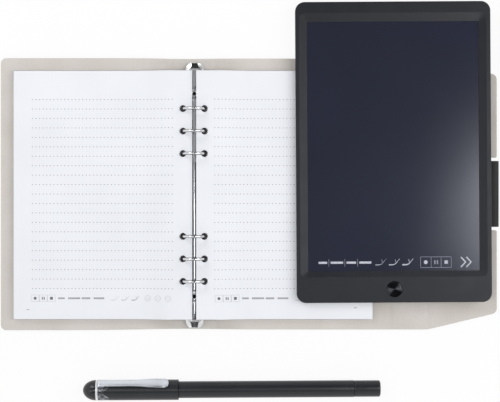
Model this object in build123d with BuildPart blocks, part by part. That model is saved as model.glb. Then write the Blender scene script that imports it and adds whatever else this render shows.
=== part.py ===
"""Smart notebook: a six-ring binder lying open, with a writing tablet on it and a capped pen in front.

Millimetres. +X runs to the right across the open pages, +Y towards their top edge and +Z up. The origin
lies on the table, under the middle of the ring mechanism.
"""

import os
from math import asin, cos, degrees, radians, sin, sqrt

from build123d import *

os.makedirs("parts", exist_ok=True)

# Paper: the pages set the size of the cover and of the ring mechanism
page_inner_edge = 2.6
page_width = 149.1
left_fan = 1.4
left_block_inner_edge = 1.3
page_height = 211.0
stack_thickness = 4.0
stack_ring_height = 9.0
stack_rest_gap = 0.3
stack_flat_inner = 18.0
stack_slope_length = 27.0
sheet_thickness = 0.2
sheet_gap = 0.15
sheet_inset = 0.2
paper_hole_radius = 9.2
paper_hole = 5.8
sheet_hole = 6.0

# Cover panels, from left to right: front cover, spine, back cover, fore-edge strip, flap
cover_end_margin = 9.8
cover_shift = 0.9
front_margin = 11.4
back_margin = 14.8
cover_corner = 4.5
spine_width = 38.0
fore_edge_width = 32.5
flap_width = 58.7
flap_taper = 14.0
flap_corner = 5.0
crease_gap = 0.6
skin_thickness = 0.8
board_thickness = 1.6
lining_thickness = 0.6
skin_rim = 0.8
layer_clearance = 0.1

# Notch in the flap and the pen loop that stands in it
notch_length = 62.0
notch_depth = 20.0
loop_length = 56.0
loop_width = 20.0
loop_height = 7.0
loop_wall = 1.0
loop_overhang = 1.4
loop_floor_gap = 0.2
tail_length = 9.0
tail_thickness = 1.4

# Closing magnets in the flap and steel discs in the front cover
magnet_diameter = 12.0
magnet_thickness = 1.4
magnet_from_crease = 37.0
magnet_spacing = 160.0
magnet_clearance = 0.2

# Ring mechanism
ring_pitch = 19.0
ring_group_gap = 70.0
rings_per_group = 3
ring_axis_height = 13.5
ring_mid_radius = 8.35
ring_wire = 2.3
ring_tip_gap = 0.1
ring_foot_offset = 3.8
plate_end_setback = 0.5
plate_width = 15.2
plate_height = 4.5
plate_edge_height = 2.2
plate_thickness = 0.7
slot_inner = 2.1
slot_outer = 6.4
slot_clearance = 0.45
blade_thickness = 0.8
blade_lift = 1.1
blade_side_clearance = 0.2
blade_centre_gap = 0.24
blade_end_setback = 2.5
rivet_end_distance = 19.0
rivet_shank = 3.6
rivet_head = 5.2
rivet_head_height = 0.6
rivet_flange = 6.0
rivet_flange_height = 0.5
rivet_bore = 2.8
rivet_clearance = 0.1
rivet_blade_clearance = 0.6

# Opening levers at the ends of the mechanism
lever_length = 6.7
lever_width = 15.6
lever_tip_width = 7.6
lever_ridge_width = 4.4
lever_base_height = 5.4
lever_tip_height = 4.4
lever_tip_lift = 2.3
lever_gap = 0.3
lever_pin = 1.0
lever_pin_clearance = 0.1
lever_pin_setback = 1.1
lever_pin_height = 0.75
tongue_width = 4.0
tongue_length = 4.2
tongue_thickness = 0.55

# Writing tablet, lying on the right-hand pages
tablet_x = 168.9
tablet_y = 36.3
tablet_turn = 0.35
tablet_rest_gap = 0.1
tablet_thickness = 5.6
tablet_corner = 8.0
tablet_edge_round = 0.5
shell_height = 3.4
shell_floor = 1.2
shell_wall = 1.8
screen_width = 144.9
screen_height = 210.8
bezel_left = 9.85
bezel_right = 10.25
bezel_top = 16.9
bezel_bottom = 26.7
screen_depth = 0.8
bevel_side = 6.7
bevel_top = 7.5
bevel_bottom = 5.0
bevel_outer_corner = 5.0
bevel_inner_corner = 0.8
film_margin = 2.5
film_thickness = 0.8
film_clearance = 0.05
film_lip = 0.35
panel_thickness = 0.9
panel_inset = 0.6
rib_width = 1.6
rib_count = 6
button_offset = 0.1
button_from_edge = 11.3
button_diameter = 13.3
button_flange = 15.2
button_flange_thickness = 0.5
button_proud = 0.25
button_clearance = 0.2
button_travel = 0.35
board_depth = 16.0
board_thickness_tablet = 0.8
board_height = 1.5
board_from_side = 22.0
board_gap = 0.5
shelf_width = 4.0
shelf_offset = 1.0
board_from_edge = 13.8
switch_size = 6.0
cell_diameter = 20.0
cell_thickness = 1.6
cell_from_side = 32.0
cell_from_edge = 14.1
door_width = 34.0
door_depth = 20.4
door_clearance = 0.15
door_screw = 1.6
door_screw_head = 3.0
door_screw_x = 14.5
lock_from_side = 30.0
lock_from_top = 26.3
lock_knob_width = 5.0
lock_knob_depth = 3.2
lock_travel = 3.0
lock_flange = 1.0
lock_flange_thickness = 0.6
lock_clearance = 0.15
lock_recess = 0.15
case_screw = 1.8
case_screw_head = 3.4
case_screw_head_height = 0.7
case_screw_inset = 5.6
case_screw_boss = 5.0
case_screw_depth = 4.4

# Pen: stations run along its axis from its middle, towards the capped end negative
pen_x = 32.05
pen_y = -164.7
pen_turn = 0.35
cap_radius = 8.65
cap_bore_radius = 7.0
barrel_radius = 7.1
barrel_bore_radius = 5.5
pen_rest_gap = 0.05
cap_tip = -126.0
cap_dome_base = -114.9
cap_ring_width = 1.9
cap_ring_proud = 0.15
collar_end = -103.5
collar_notch_apex = -108.9
collar_notch_half_width = 5.0
collar_depth = 0.7
collar_notch_roll = -11.0
cap_spigot_length = 3.0
cap_mouth = -44.9
cap_wall_end = -106.5
liner_start = -104.0
liner_end = -66.0
liner_end_wall = 1.5
liner_wall = 0.7
pen_fit = 0.1
barrel_shoulder_gap = 0.2
neck_start = -58.0
barrel_end = 103.7
nose_radius = 6.0
nose_mid_radius = 5.2
nose_mid = -78.0
nose_tip_radius = 1.6
nose_tip = -93.0
nose_spigot_length = 6.0
refill_radius = 1.15
refill_tip_radius = 0.35
refill_tip = -97.0
refill_end = -20.0
nib_travel = 0.4
sensor_length = 4.4
pen_board_start = -14.8
pen_board_end = 60.0
pen_board_width = 10.6
pen_board_thickness = 1.0
pen_battery_radius = 5.25
pen_battery_start = 61.0
pen_battery_length = 36.0
plug_end = 126.0
plug_radius = 6.95
plug_spigot_length = 5.5
plug_dome = 0.7
plug_round = 0.7
window_length = 4.2
window_width = 2.4
window_depth = 0.9
window_station = -85.5
clip_roll = 40.0
clip_start = -112.8
clip_end = -53.0
clip_root_end = -107.4
clip_root_width = 8.5
clip_waist_width = 6.5
clip_waist_station = -84.0
clip_paddle_width = 10.4
clip_paddle_station = -60.5
clip_thickness = 0.9
clip_lift = 1.1
clip_touch_gap = 0.15

# Worked-out levels and places
cover_thickness = skin_thickness + board_thickness + lining_thickness
cover_height = page_height + 2 * cover_end_margin
page_outer_edge = page_inner_edge + page_width
front_crease = -spine_width / 2
back_crease = spine_width / 2
left_outer_edge = page_outer_edge + left_fan
front_edge = -left_outer_edge - front_margin
fore_edge_crease = page_outer_edge + back_margin
flap_crease = fore_edge_crease + fore_edge_width
flap_edge = flap_crease + flap_width
flap_end_height = cover_height - 2 * flap_taper
notch_left = flap_edge - notch_depth
loop_right = flap_edge + loop_overhang
loop_left = loop_right - loop_width
board_top = skin_thickness + board_thickness
plate_length = page_height - 2 * plate_end_setback
plate_top = cover_thickness + plate_height
blade_bottom = cover_thickness + blade_lift
blade_top = blade_bottom + blade_thickness
blade_outer = plate_width / 2 - plate_thickness - blade_side_clearance
stack_flat_outer = stack_flat_inner + stack_slope_length
stack_flat_height = cover_thickness + stack_rest_gap
stack_top = stack_flat_height + stack_thickness
tablet_bottom = stack_top + sheet_gap + sheet_thickness + tablet_rest_gap
ring_stations = [
    end * (ring_group_gap / 2 + index * ring_pitch) for end in (-1, 1) for index in range(rings_per_group)
]
rivet_places = [(0, end * (plate_length / 2 - rivet_end_distance)) for end in (-1, 1)]
lever_base_y = plate_length / 2 + lever_gap
lever_reach = lever_base_y + lever_length
magnet_ends = [cover_shift + end * magnet_spacing / 2 for end in (-1, 1)]


def write(piece, name):
    """Name a finished piece and write its own file."""
    piece.part.label = name
    export_step(piece.part, f"parts/{name}.step")


# Cover panels


def draw_panel(left, right, free_left, free_right, inset=0.0):
    """Draw a straight panel between two creases; its free edges are inset and have round corners."""
    start = left + (inset if free_left else crease_gap / 2)
    end = right - (inset if free_right else crease_gap / 2)
    with Locations(((start + end) / 2, cover_shift)):
        Rectangle(end - start, cover_height - 2 * inset)
    if free_left:
        fillet(vertices().group_by(Axis.X)[0], cover_corner - inset)
    if free_right:
        fillet(vertices().group_by(Axis.X)[-1], cover_corner - inset)


def panel_skin(left, right, free_left=False, free_right=False):
    """Outer leather of a panel: a shallow tray whose rim covers the edges of board and lining."""
    with BuildPart() as skin:
        with BuildSketch():
            draw_panel(left, right, free_left, free_right)
        extrude(amount=cover_thickness)
        with BuildSketch(Plane.XY.offset(skin_thickness)):
            draw_panel(left, right, free_left, free_right, skin_rim)
        extrude(amount=cover_thickness - skin_thickness, mode=Mode.SUBTRACT)
    return skin


def panel_layer(left, right, free_left, free_right, bottom, thickness):
    """Board or lining of a panel, lying inside the rim of the skin."""
    with BuildPart() as layer:
        with BuildSketch(Plane.XY.offset(bottom)):
            draw_panel(left, right, free_left, free_right, skin_rim + layer_clearance)
        extrude(amount=thickness)
    return layer


def cut_round(piece, diameter, places, bottom, depth):
    """Cut upright round holes of one diameter into a finished piece."""
    with BuildSketch(Plane.XY.offset(bottom)) as outline:
        with Locations(*places):
            Circle(diameter / 2)
    with piece:
        extrude(outline.sketch, amount=depth, mode=Mode.SUBTRACT)


def discs(diameter, places, bottom, thickness):
    """Equal flat discs, one solid at each place."""
    with BuildPart() as group:
        with BuildSketch(Plane.XY.offset(bottom)):
            with Locations(*places):
                Circle(diameter / 2)
        extrude(amount=thickness)
    return group


def make_front_cover():
    span = (front_edge, front_crease, True, False)
    disc_x = front_edge + magnet_from_crease
    places = [(disc_x, end) for end in magnet_ends]
    write(panel_skin(*span), "front_cover_skin")
    board = panel_layer(*span, skin_thickness, board_thickness)
    cut_round(board, magnet_diameter + 2 * magnet_clearance, places, skin_thickness, board_thickness)
    write(board, "front_cover_board")
    write(panel_layer(*span, board_top, lining_thickness), "front_cover_lining")
    disc_bottom = skin_thickness + (board_thickness - magnet_thickness) / 2
    write(discs(magnet_diameter, places, disc_bottom, magnet_thickness), "cover_steel_discs")


def make_spine():
    span = (front_crease, back_crease, False, False)
    hole = rivet_shank + 2 * rivet_clearance
    flange_hole = rivet_flange + 2 * rivet_clearance
    write(panel_skin(*span), "spine_skin")
    board = panel_layer(*span, skin_thickness, board_thickness)
    cut_round(board, hole, rivet_places, skin_thickness, board_thickness)
    cut_round(board, flange_hole, rivet_places, skin_thickness, rivet_flange_height + rivet_clearance)
    write(board, "spine_board")
    lining = panel_layer(*span, board_top, lining_thickness)
    cut_round(lining, hole, rivet_places, board_top, lining_thickness)
    write(lining, "spine_lining")


def make_back_cover():
    span = (back_crease, fore_edge_crease, False, False)
    write(panel_skin(*span), "back_cover_skin")
    write(panel_layer(*span, skin_thickness, board_thickness), "back_cover_board")
    write(panel_layer(*span, board_top, lining_thickness), "back_cover_lining")


def make_fore_edge():
    span = (fore_edge_crease, flap_crease, False, False)
    write(panel_skin(*span), "fore_edge_skin")
    write(panel_layer(*span, skin_thickness, board_thickness), "fore_edge_board")
    write(panel_layer(*span, board_top, lining_thickness), "fore_edge_lining")


def draw_flap(inset=0.0):
    """Draw the tapered flap with its notch, inset from every free edge."""
    root = flap_crease + crease_gap / 2
    end = flap_edge - inset
    half_root = cover_height / 2 - inset
    half_end = flap_end_height / 2 - inset
    corners = [(root, -half_root), (end, -half_end), (end, half_end), (root, half_root)]
    with BuildLine() as outline:
        Polyline(*[(x, y + cover_shift) for x, y in corners], close=True)
    make_face(outline.edges())
    fillet(vertices().group_by(Axis.X)[-1], flap_corner - inset)
    cut_left = notch_left - inset
    with Locations(((cut_left + flap_edge) / 2, cover_shift)):
        Rectangle(flap_edge - cut_left, notch_length + 2 * inset, mode=Mode.SUBTRACT)


def flap_layer(bottom, thickness):
    with BuildPart() as layer:
        with BuildSketch(Plane.XY.offset(bottom)):
            draw_flap(skin_rim + layer_clearance)
        extrude(amount=thickness)
    return layer


def cut_box(piece, left, right, depth, bottom, top):
    """Cut an upright box, centred on the cover, out of a finished piece."""
    with BuildSketch(Plane.XY.offset(bottom)) as outline:
        with Locations(((left + right) / 2, cover_shift)):
            Rectangle(right - left, depth)
    with piece:
        extrude(outline.sketch, amount=top - bottom, mode=Mode.SUBTRACT)


def make_flap():
    tail_left = loop_left - tail_length
    tail_slot = loop_length + 4 * layer_clearance
    with BuildPart() as skin:
        with BuildSketch():
            draw_flap()
        extrude(amount=cover_thickness)
        with BuildSketch(Plane.XY.offset(skin_thickness)):
            draw_flap(skin_rim)
        extrude(amount=cover_thickness - skin_thickness, mode=Mode.SUBTRACT)
    cut_box(skin, notch_left - skin_rim, notch_left, tail_slot, skin_thickness, board_top)
    write(skin, "flap_skin")
    places = [(flap_crease + magnet_from_crease, end) for end in magnet_ends]
    board = flap_layer(skin_thickness, board_thickness)
    cut_box(board, tail_left - layer_clearance, notch_left, tail_slot, skin_thickness, board_top)
    cut_round(board, magnet_diameter + 2 * magnet_clearance, places, skin_thickness, board_thickness)
    write(board, "flap_board")
    write(flap_layer(board_top, lining_thickness), "flap_lining")
    magnet_bottom = skin_thickness + (board_thickness - magnet_thickness) / 2
    write(discs(magnet_diameter, places, magnet_bottom, magnet_thickness), "flap_magnets")


def make_pen_loop():
    """Flattened leather tube in the notch, with a tail glued between skin and lining of the flap."""
    centre = ((loop_left + loop_right) / 2, loop_floor_gap + loop_height / 2)
    tail_left = loop_left - tail_length
    tail_right = loop_left + loop_wall
    tail_middle = skin_thickness + board_thickness / 2
    with BuildPart() as loop:
        with BuildSketch(Plane.XZ.offset(-cover_shift)):
            with Locations(centre):
                SlotOverall(loop_width, loop_height)
            with Locations(((tail_left + tail_right) / 2, tail_middle)):
                Rectangle(tail_right - tail_left, tail_thickness)
            with Locations(centre):
                SlotOverall(loop_width - 2 * loop_wall, loop_height - 2 * loop_wall, mode=Mode.SUBTRACT)
        extrude(amount=loop_length / 2, both=True)
    write(loop, "pen_loop")


# Ring mechanism


def draw_plate_profile(half_width, edge_top, crown):
    """Draw the arched profile of the cover plate, standing on the lining of the spine."""
    with BuildLine() as outline:
        Line((-half_width, cover_thickness), (-half_width, edge_top))
        ThreePointArc((-half_width, edge_top), (0, crown), (half_width, edge_top))
        Line((half_width, edge_top), (half_width, cover_thickness))
        Line((half_width, cover_thickness), (-half_width, cover_thickness))
    make_face(outline.edges())


def make_cover_plate():
    half_width = plate_width / 2
    edge_top = cover_thickness + plate_edge_height
    pin_y = plate_length / 2 - lever_pin_setback
    pin_z = cover_thickness + lever_pin_height
    with BuildPart() as plate:
        with BuildSketch(Plane.XZ):
            draw_plate_profile(half_width, edge_top, plate_top)
        extrude(amount=plate_length / 2, both=True)
        with BuildSketch(Plane.XZ):
            draw_plate_profile(half_width - plate_thickness, edge_top, plate_top - plate_thickness)
        extrude(amount=plate_length / 2, both=True, mode=Mode.SUBTRACT)
        with BuildSketch(Plane.XY.offset(cover_thickness)):
            for side in (-1, 1):
                for station in ring_stations:
                    with Locations((side * (slot_inner + slot_outer) / 2, station)):
                        Rectangle(slot_outer - slot_inner, ring_wire + 2 * slot_clearance)
            with Locations(*rivet_places):
                Circle(rivet_shank / 2 + rivet_clearance)
        extrude(amount=plate_height, mode=Mode.SUBTRACT)
        with BuildSketch(Plane.YZ):
            with Locations((-pin_y, pin_z), (pin_y, pin_z)):
                Circle(lever_pin / 2 + lever_pin_clearance)
        extrude(amount=half_width, both=True, mode=Mode.SUBTRACT)
    write(plate, "ring_cover_plate")


def make_rivets():
    """Hollow rivets through plate and spine; their flanges lie under the board, on the skin."""
    with BuildPart() as rivets:
        with BuildSketch(Plane.XY.offset(skin_thickness)):
            with Locations(*rivet_places):
                Circle(rivet_flange / 2)
        extrude(amount=rivet_flange_height)
        with BuildSketch(Plane.XY.offset(skin_thickness)):
            with Locations(*rivet_places):
                Circle(rivet_shank / 2)
        extrude(amount=plate_top - skin_thickness)
        with BuildSketch(Plane.XY.offset(plate_top)):
            with Locations(*rivet_places):
                Circle(rivet_head / 2)
        extrude(amount=rivet_head_height)
        chamfer(edges().group_by(Axis.Z)[-1], rivet_head_height * 0.6)
        with BuildSketch(Plane.XY.offset(skin_thickness + rivet_flange_height)):
            with Locations(*rivet_places):
                Circle(rivet_bore / 2)
        extrude(amount=plate_top, mode=Mode.SUBTRACT)
    write(rivets, "ring_rivets")


def make_hinge_blade(side, name):
    """Spring-steel strip under the plate that carries one half of every ring."""
    inner = side * blade_centre_gap / 2
    outer = side * blade_outer
    length = plate_length - 2 * blade_end_setback
    with BuildPart() as blade:
        with BuildSketch(Plane.XY.offset(blade_bottom)):
            with Locations(((inner + outer) / 2, 0)):
                Rectangle(abs(outer - inner), length)
            with Locations(*rivet_places):
                Circle(rivet_shank / 2 + rivet_blade_clearance, mode=Mode.SUBTRACT)
        extrude(amount=blade_thickness)
    write(blade, name)


def make_half_rings(side, name):
    """Half of each ring: an arc from the joint at the top down to an upright foot on the blade."""
    tip_angle = degrees(asin(ring_tip_gap / 2 / ring_mid_radius))
    foot_angle = degrees(asin(ring_foot_offset / ring_mid_radius))
    foot_height = ring_axis_height - sqrt(ring_mid_radius**2 - ring_foot_offset**2)
    lean = radians(tip_angle)
    with BuildPart() as halves:
        for station in ring_stations:
            centre = (0, station, ring_axis_height)
            tip_plane = Plane(origin=centre, x_dir=(side * sin(lean), 0, cos(lean)), z_dir=(side, 0, -sin(lean)))
            with BuildSketch(tip_plane):
                with Locations((ring_mid_radius, 0)):
                    Circle(ring_wire / 2)
            turn = Axis(centre, (0, side, 0))
            revolve(axis=turn, revolution_arc=180 - foot_angle - tip_angle)
            with Locations((side * ring_foot_offset, station, foot_height)):
                Sphere(ring_wire / 2)
            with BuildSketch(Plane.XY.offset(blade_top)):
                with Locations((side * ring_foot_offset, station)):
                    Circle(ring_wire / 2)
            extrude(amount=foot_height - blade_top)
    write(halves, name)


def make_lever(end, name):
    """Opening lever: a ridged thumb tab outside the plate, a pin in it and a tongue under the blades."""
    base_y = lever_base_y
    pin_y = plate_length / 2 - lever_pin_setback
    pin_z = cover_thickness + lever_pin_height
    low = cover_thickness + 0.35
    profile = [
        (end * base_y, low),
        (end * lever_reach, low + lever_tip_lift),
        (end * lever_reach, cover_thickness + lever_tip_height),
        (end * (base_y + lever_reach) / 2, cover_thickness + lever_base_height),
        (end * base_y, cover_thickness + lever_base_height),
    ]
    plan = [
        (-lever_width / 2, end * base_y),
        (-lever_tip_width / 2, end * lever_reach),
        (lever_tip_width / 2, end * lever_reach),
        (lever_width / 2, end * base_y),
    ]
    crown = cover_thickness + lever_base_height
    roof = [
        (-lever_width / 2, cover_thickness),
        (-lever_ridge_width / 2, crown),
        (lever_ridge_width / 2, crown),
        (lever_width / 2, cover_thickness),
    ]
    tongue_inner = pin_y - tongue_length
    tongue_middle = end * (tongue_inner + base_y) / 2
    with BuildPart() as lever:
        with BuildSketch(Plane.YZ):
            with BuildLine():
                Polyline(*profile, close=True)
            make_face()
        extrude(amount=lever_width / 2, both=True)
        with BuildSketch(Plane.XY.offset(cover_thickness)):
            with BuildLine():
                Polyline(*plan, close=True)
            make_face()
            fillet(vertices().filter_by(lambda v: abs(abs(v.Y) - lever_reach) < 0.01), 2.0)
        extrude(amount=lever_base_height + 1, mode=Mode.INTERSECT)
        with BuildSketch(Plane.XZ):
            with BuildLine():
                Polyline(*roof, close=True)
            make_face()
        extrude(amount=lever_reach, both=True, mode=Mode.INTERSECT)
        with BuildSketch(Plane.XY.offset(pin_z - tongue_thickness / 2)):
            with Locations((0, tongue_middle)):
                Rectangle(tongue_width, base_y - tongue_inner)
        extrude(amount=tongue_thickness)
        with BuildSketch(Plane.YZ):
            with Locations((end * pin_y, pin_z)):
                Circle(lever_pin / 2)
        extrude(amount=plate_width / 2, both=True)
    write(lever, name)


# Paper


def draw_sheet_profile(side, lift, thickness, inset=0.0, inner_edge=page_inner_edge):
    """Draw the side view of a stack that lies flat on the cover and climbs onto the rings."""
    inner = side * (inner_edge + inset)
    outer = page_outer_edge - inset if side > 0 else inset - left_outer_edge
    near = side * stack_flat_inner
    far = side * stack_flat_outer
    high = stack_ring_height + lift
    low = stack_flat_height + lift
    level = (side, 0)
    with BuildLine() as outline:
        Line((inner, high), (near, high))
        Spline((near, high), (far, low), tangents=(level, level))
        Line((far, low), (outer, low))
        Line((outer, low), (outer, low + thickness))
        Line((outer, low + thickness), (far, low + thickness))
        Spline((near, high + thickness), (far, low + thickness), tangents=(level, level))
        Line((near, high + thickness), (inner, high + thickness))
        Line((inner, high + thickness), (inner, high))
    make_face(outline.edges())


def make_paper(side, lift, thickness, hole, inset, name, inner_edge=page_inner_edge):
    """Stack or single sheet with a tunnel round each ring, so that it can turn about the rings."""
    with BuildPart() as paper:
        with BuildSketch(Plane.XZ):
            draw_sheet_profile(side, lift, thickness, inset, inner_edge)
        extrude(amount=page_height / 2 - inset, both=True)
        for station in ring_stations:
            with Locations(Location((0, station, ring_axis_height), (90, 0, 0))):
                Torus(paper_hole_radius, hole / 2, mode=Mode.SUBTRACT)
    write(paper, name)


# Writing tablet: sketches lie in its own turned plane

tablet_plane = Plane(
    origin=(tablet_x, tablet_y, tablet_bottom),
    x_dir=(cos(radians(tablet_turn)), sin(radians(tablet_turn)), 0),
    z_dir=(0, 0, 1),
)
tablet_width = screen_width + bezel_left + bezel_right
tablet_height = screen_height + bezel_top + bezel_bottom
screen_x = (bezel_left - bezel_right) / 2
screen_y = (bezel_bottom - bezel_top) / 2
button_x = button_offset
button_y = button_from_edge - tablet_height / 2
board_y = board_from_edge - tablet_height / 2
cell_x = cell_from_side - tablet_width / 2
cell_y = cell_from_edge - tablet_height / 2
board_left = cell_x + door_screw_x + shelf_offset + shelf_width / 2 + board_gap
board_right = tablet_width / 2 - board_from_side
board_length = board_right - board_left
board_x = (board_left + board_right) / 2
lock_x = tablet_width / 2 - lock_from_side
lock_y = tablet_height / 2 - lock_from_top
film_bottom = tablet_thickness - screen_depth - film_lip - film_thickness
panel_bottom = film_bottom - panel_thickness
film_width = screen_width + 2 * film_margin
film_height = screen_height + 2 * film_margin
boss_places = [
    (
        side * (tablet_width / 2 - case_screw_inset),
        end * (tablet_height / 2 - case_screw_inset),
    )
    for side in (-1, 1)
    for end in (-1, 1)
]
door_screw_place = (cell_x + door_screw_x, cell_y)


def extrude_round(plane, places, diameter, amount, mode=Mode.ADD):
    """Round bosses or holes at given places, inside the piece that is being built."""
    with BuildSketch(plane) as outline:
        with Locations(*places):
            Circle(diameter / 2)
    extrude(outline.sketch, amount=amount, mode=mode)


def extrude_block(plane, place, size, amount, mode=Mode.ADD):
    """Rectangular block or pocket, inside the piece that is being built."""
    with BuildSketch(plane) as outline:
        with Locations(place):
            Rectangle(*size)
    extrude(outline.sketch, amount=amount, mode=mode)


def draw_case(inset=0.0):
    Rectangle(tablet_width - 2 * inset, tablet_height - 2 * inset)
    fillet(vertices(), tablet_corner - inset)


def make_rear_shell():
    floor_top = tablet_plane.offset(shell_floor)
    slot_width = lock_knob_width + lock_travel + 2 * lock_clearance
    rib_pitch = screen_height / rib_count
    rib_height = panel_bottom - shell_floor
    with BuildPart() as shell:
        with BuildSketch(tablet_plane):
            draw_case()
        extrude(amount=shell_height)
        fillet(edges().group_by(Axis.Z)[0], tablet_edge_round)
        with BuildSketch(floor_top):
            draw_case(shell_wall)
        extrude(amount=shell_height - shell_floor, mode=Mode.SUBTRACT)
        with BuildSketch(floor_top):
            with Locations((screen_x, screen_y)):
                with GridLocations(0, rib_pitch, 1, rib_count):
                    Rectangle(film_width - 16, rib_width)
        extrude(amount=rib_height)
        extrude_round(floor_top, boss_places, case_screw_boss, shell_height - shell_floor)
        extrude_round(tablet_plane, boss_places, case_screw + 0.2, shell_height, Mode.SUBTRACT)
        head_depth = case_screw_head_height + 0.1
        extrude_round(tablet_plane, boss_places, case_screw_head + 0.2, head_depth, Mode.SUBTRACT)
        board_feet = [(board_x + side * (board_length / 2 - 3), board_y) for side in (-1, 1)]
        extrude_round(floor_top, board_feet, 4.0, board_height - shell_floor)
        door_hole = (door_width + 2 * door_clearance, door_depth + 2 * door_clearance)
        extrude_block(tablet_plane, (cell_x, cell_y), door_hole, shell_floor, Mode.SUBTRACT)
        screw_shelf = (shelf_width, door_hole[1] + 3.0)
        shelf_place = (cell_x + door_screw_x + shelf_offset, cell_y)
        extrude_block(tablet_plane.offset(shell_floor), shelf_place, screw_shelf, 1.4)
        extrude_round(tablet_plane, [door_screw_place], door_screw + 0.2, 3.0, Mode.SUBTRACT)
        slot = (slot_width, lock_knob_depth + 2 * lock_clearance)
        slot_place = (lock_x + lock_travel / 2, lock_y)
        extrude_block(tablet_plane, slot_place, slot, shell_floor, Mode.SUBTRACT)
        rib_cut = (slot_width + 2 * lock_flange + 1, lock_knob_depth + 2 * lock_flange + 1)
        extrude_block(floor_top, slot_place, rib_cut, rib_height, Mode.SUBTRACT)
    write(shell, "tablet_rear_shell")


def make_bezel():
    """Front frame: a flat outer band and, round the screen, a band that slopes down to the film."""
    frame_height = tablet_thickness - shell_height
    left = -screen_width / 2 - bevel_side
    right = screen_width / 2 + bevel_side
    bottom = -screen_height / 2 - bevel_bottom
    top = screen_height / 2 + bevel_top
    wide_place = (screen_x + (left + right) / 2, screen_y + (bottom + top) / 2)
    lip = tablet_plane.offset(tablet_thickness - screen_depth)
    button_place = [(button_x, button_y)]
    with BuildPart() as bezel:
        with BuildSketch(tablet_plane.offset(shell_height)):
            draw_case()
        extrude(amount=frame_height)
        fillet(edges().group_by(Axis.Z)[-1], tablet_edge_round)
        with BuildSketch(lip):
            with Locations((screen_x, screen_y)):
                RectangleRounded(screen_width, screen_height, bevel_inner_corner)
        with BuildSketch(tablet_plane.offset(tablet_thickness)):
            with Locations(wide_place):
                RectangleRounded(right - left, top - bottom, bevel_outer_corner)
        loft(mode=Mode.SUBTRACT)
        with BuildSketch(lip) as opening:
            with Locations((screen_x, screen_y)):
                RectangleRounded(screen_width, screen_height, bevel_inner_corner)
        extrude(opening.sketch, amount=-tablet_thickness, mode=Mode.SUBTRACT)
        pocket = (film_width + 2 * film_clearance, film_height + 2 * film_clearance)
        pocket_depth = film_bottom + film_thickness + film_clearance - shell_height
        seat = tablet_plane.offset(shell_height)
        extrude_block(seat, (screen_x, screen_y), pocket, pocket_depth, Mode.SUBTRACT)
        button_hole = button_diameter + 2 * button_clearance
        extrude_round(seat, button_place, button_hole, frame_height, Mode.SUBTRACT)
        flange_room = button_flange_thickness + button_travel + button_clearance
        extrude_round(seat, button_place, button_flange + 0.4, flange_room, Mode.SUBTRACT)
        extrude_round(seat, boss_places, case_screw + 0.02, case_screw_depth - shell_height, Mode.SUBTRACT)
    write(bezel, "tablet_bezel")


def make_screen_layers():
    with BuildPart() as film:
        extrude_block(
            tablet_plane.offset(film_bottom), (screen_x, screen_y), (film_width, film_height), film_thickness
        )
    write(film, "writing_film")
    with BuildPart() as panel:
        extrude_block(
            tablet_plane.offset(panel_bottom),
            (screen_x, screen_y),
            (film_width - 2 * panel_inset, film_height - 2 * panel_inset),
            panel_thickness,
        )
    write(panel, "backing_panel")


def make_button_and_board():
    button_place = [(button_x, button_y)]
    flange_bottom = shell_height + button_travel + 0.1
    board_top_level = board_height + board_thickness_tablet
    switch_height = flange_bottom - button_travel - 0.1 - board_top_level
    with BuildPart() as button:
        button_height = tablet_thickness + button_proud - flange_bottom
        extrude_round(tablet_plane.offset(flange_bottom), button_place, button_diameter, button_height)
        fillet(edges().group_by(Axis.Z)[-1], 0.3)
        extrude_round(
            tablet_plane.offset(flange_bottom), button_place, button_flange, button_flange_thickness
        )
    write(button, "erase_button")
    with BuildPart() as board:
        extrude_block(
            tablet_plane.offset(board_height), (board_x, board_y), (board_length, board_depth),
            board_thickness_tablet,
        )
    write(board, "circuit_board")
    with BuildPart() as switch:
        extrude_block(
            tablet_plane.offset(board_top_level), (button_x, button_y), (switch_size, switch_size),
            switch_height * 0.7,
        )
        extrude_round(tablet_plane.offset(board_top_level), button_place, switch_size / 2, switch_height)
    write(switch, "button_switch")


def make_battery_bay():
    cell_bottom = shell_floor + 0.05
    cell_top = cell_bottom + cell_thickness
    with BuildPart() as cell:
        extrude_round(tablet_plane.offset(cell_bottom), [(cell_x, cell_y)], cell_diameter, cell_thickness)
        fillet(edges().group_by(Axis.Z)[-1], 0.3)
    write(cell, "coin_cell")
    strip_right = board_x - board_length / 2 + 2
    strip_left = cell_x - 4
    strip_length = strip_right - strip_left
    with BuildPart() as contacts:
        extrude_block(
            tablet_plane.offset(cell_top),
            ((strip_left + strip_right) / 2, cell_y + 4),
            (strip_length, 3.0),
            0.25,
        )
    write(contacts, "battery_contacts")
    with BuildPart() as door:
        extrude_block(tablet_plane, (cell_x, cell_y), (door_width, door_depth), shell_floor - 0.05)
        extrude_round(tablet_plane, [door_screw_place], door_screw + 0.2, shell_floor, Mode.SUBTRACT)
        extrude_round(tablet_plane, [door_screw_place], door_screw_head + 0.2, 0.6, Mode.SUBTRACT)
    write(door, "battery_door")
    with BuildPart() as screw:
        extrude_round(tablet_plane.offset(0.1), [door_screw_place], door_screw_head, 0.5)
        extrude_round(tablet_plane.offset(0.1), [door_screw_place], door_screw, 2.3)
    write(screw, "door_screw")


def make_lock_slider():
    """Slider in the back face that locks the erase button."""
    flange = (lock_knob_width + 2 * lock_flange, lock_knob_depth + 2 * lock_flange)
    with BuildPart() as slider:
        extrude_block(
            tablet_plane.offset(lock_recess), (lock_x, lock_y), (lock_knob_width, lock_knob_depth),
            shell_floor + lock_clearance,
        )
        flange_plane = tablet_plane.offset(shell_floor + lock_clearance)
        extrude_block(flange_plane, (lock_x, lock_y), flange, lock_flange_thickness)
    write(slider, "lock_slider")


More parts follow.
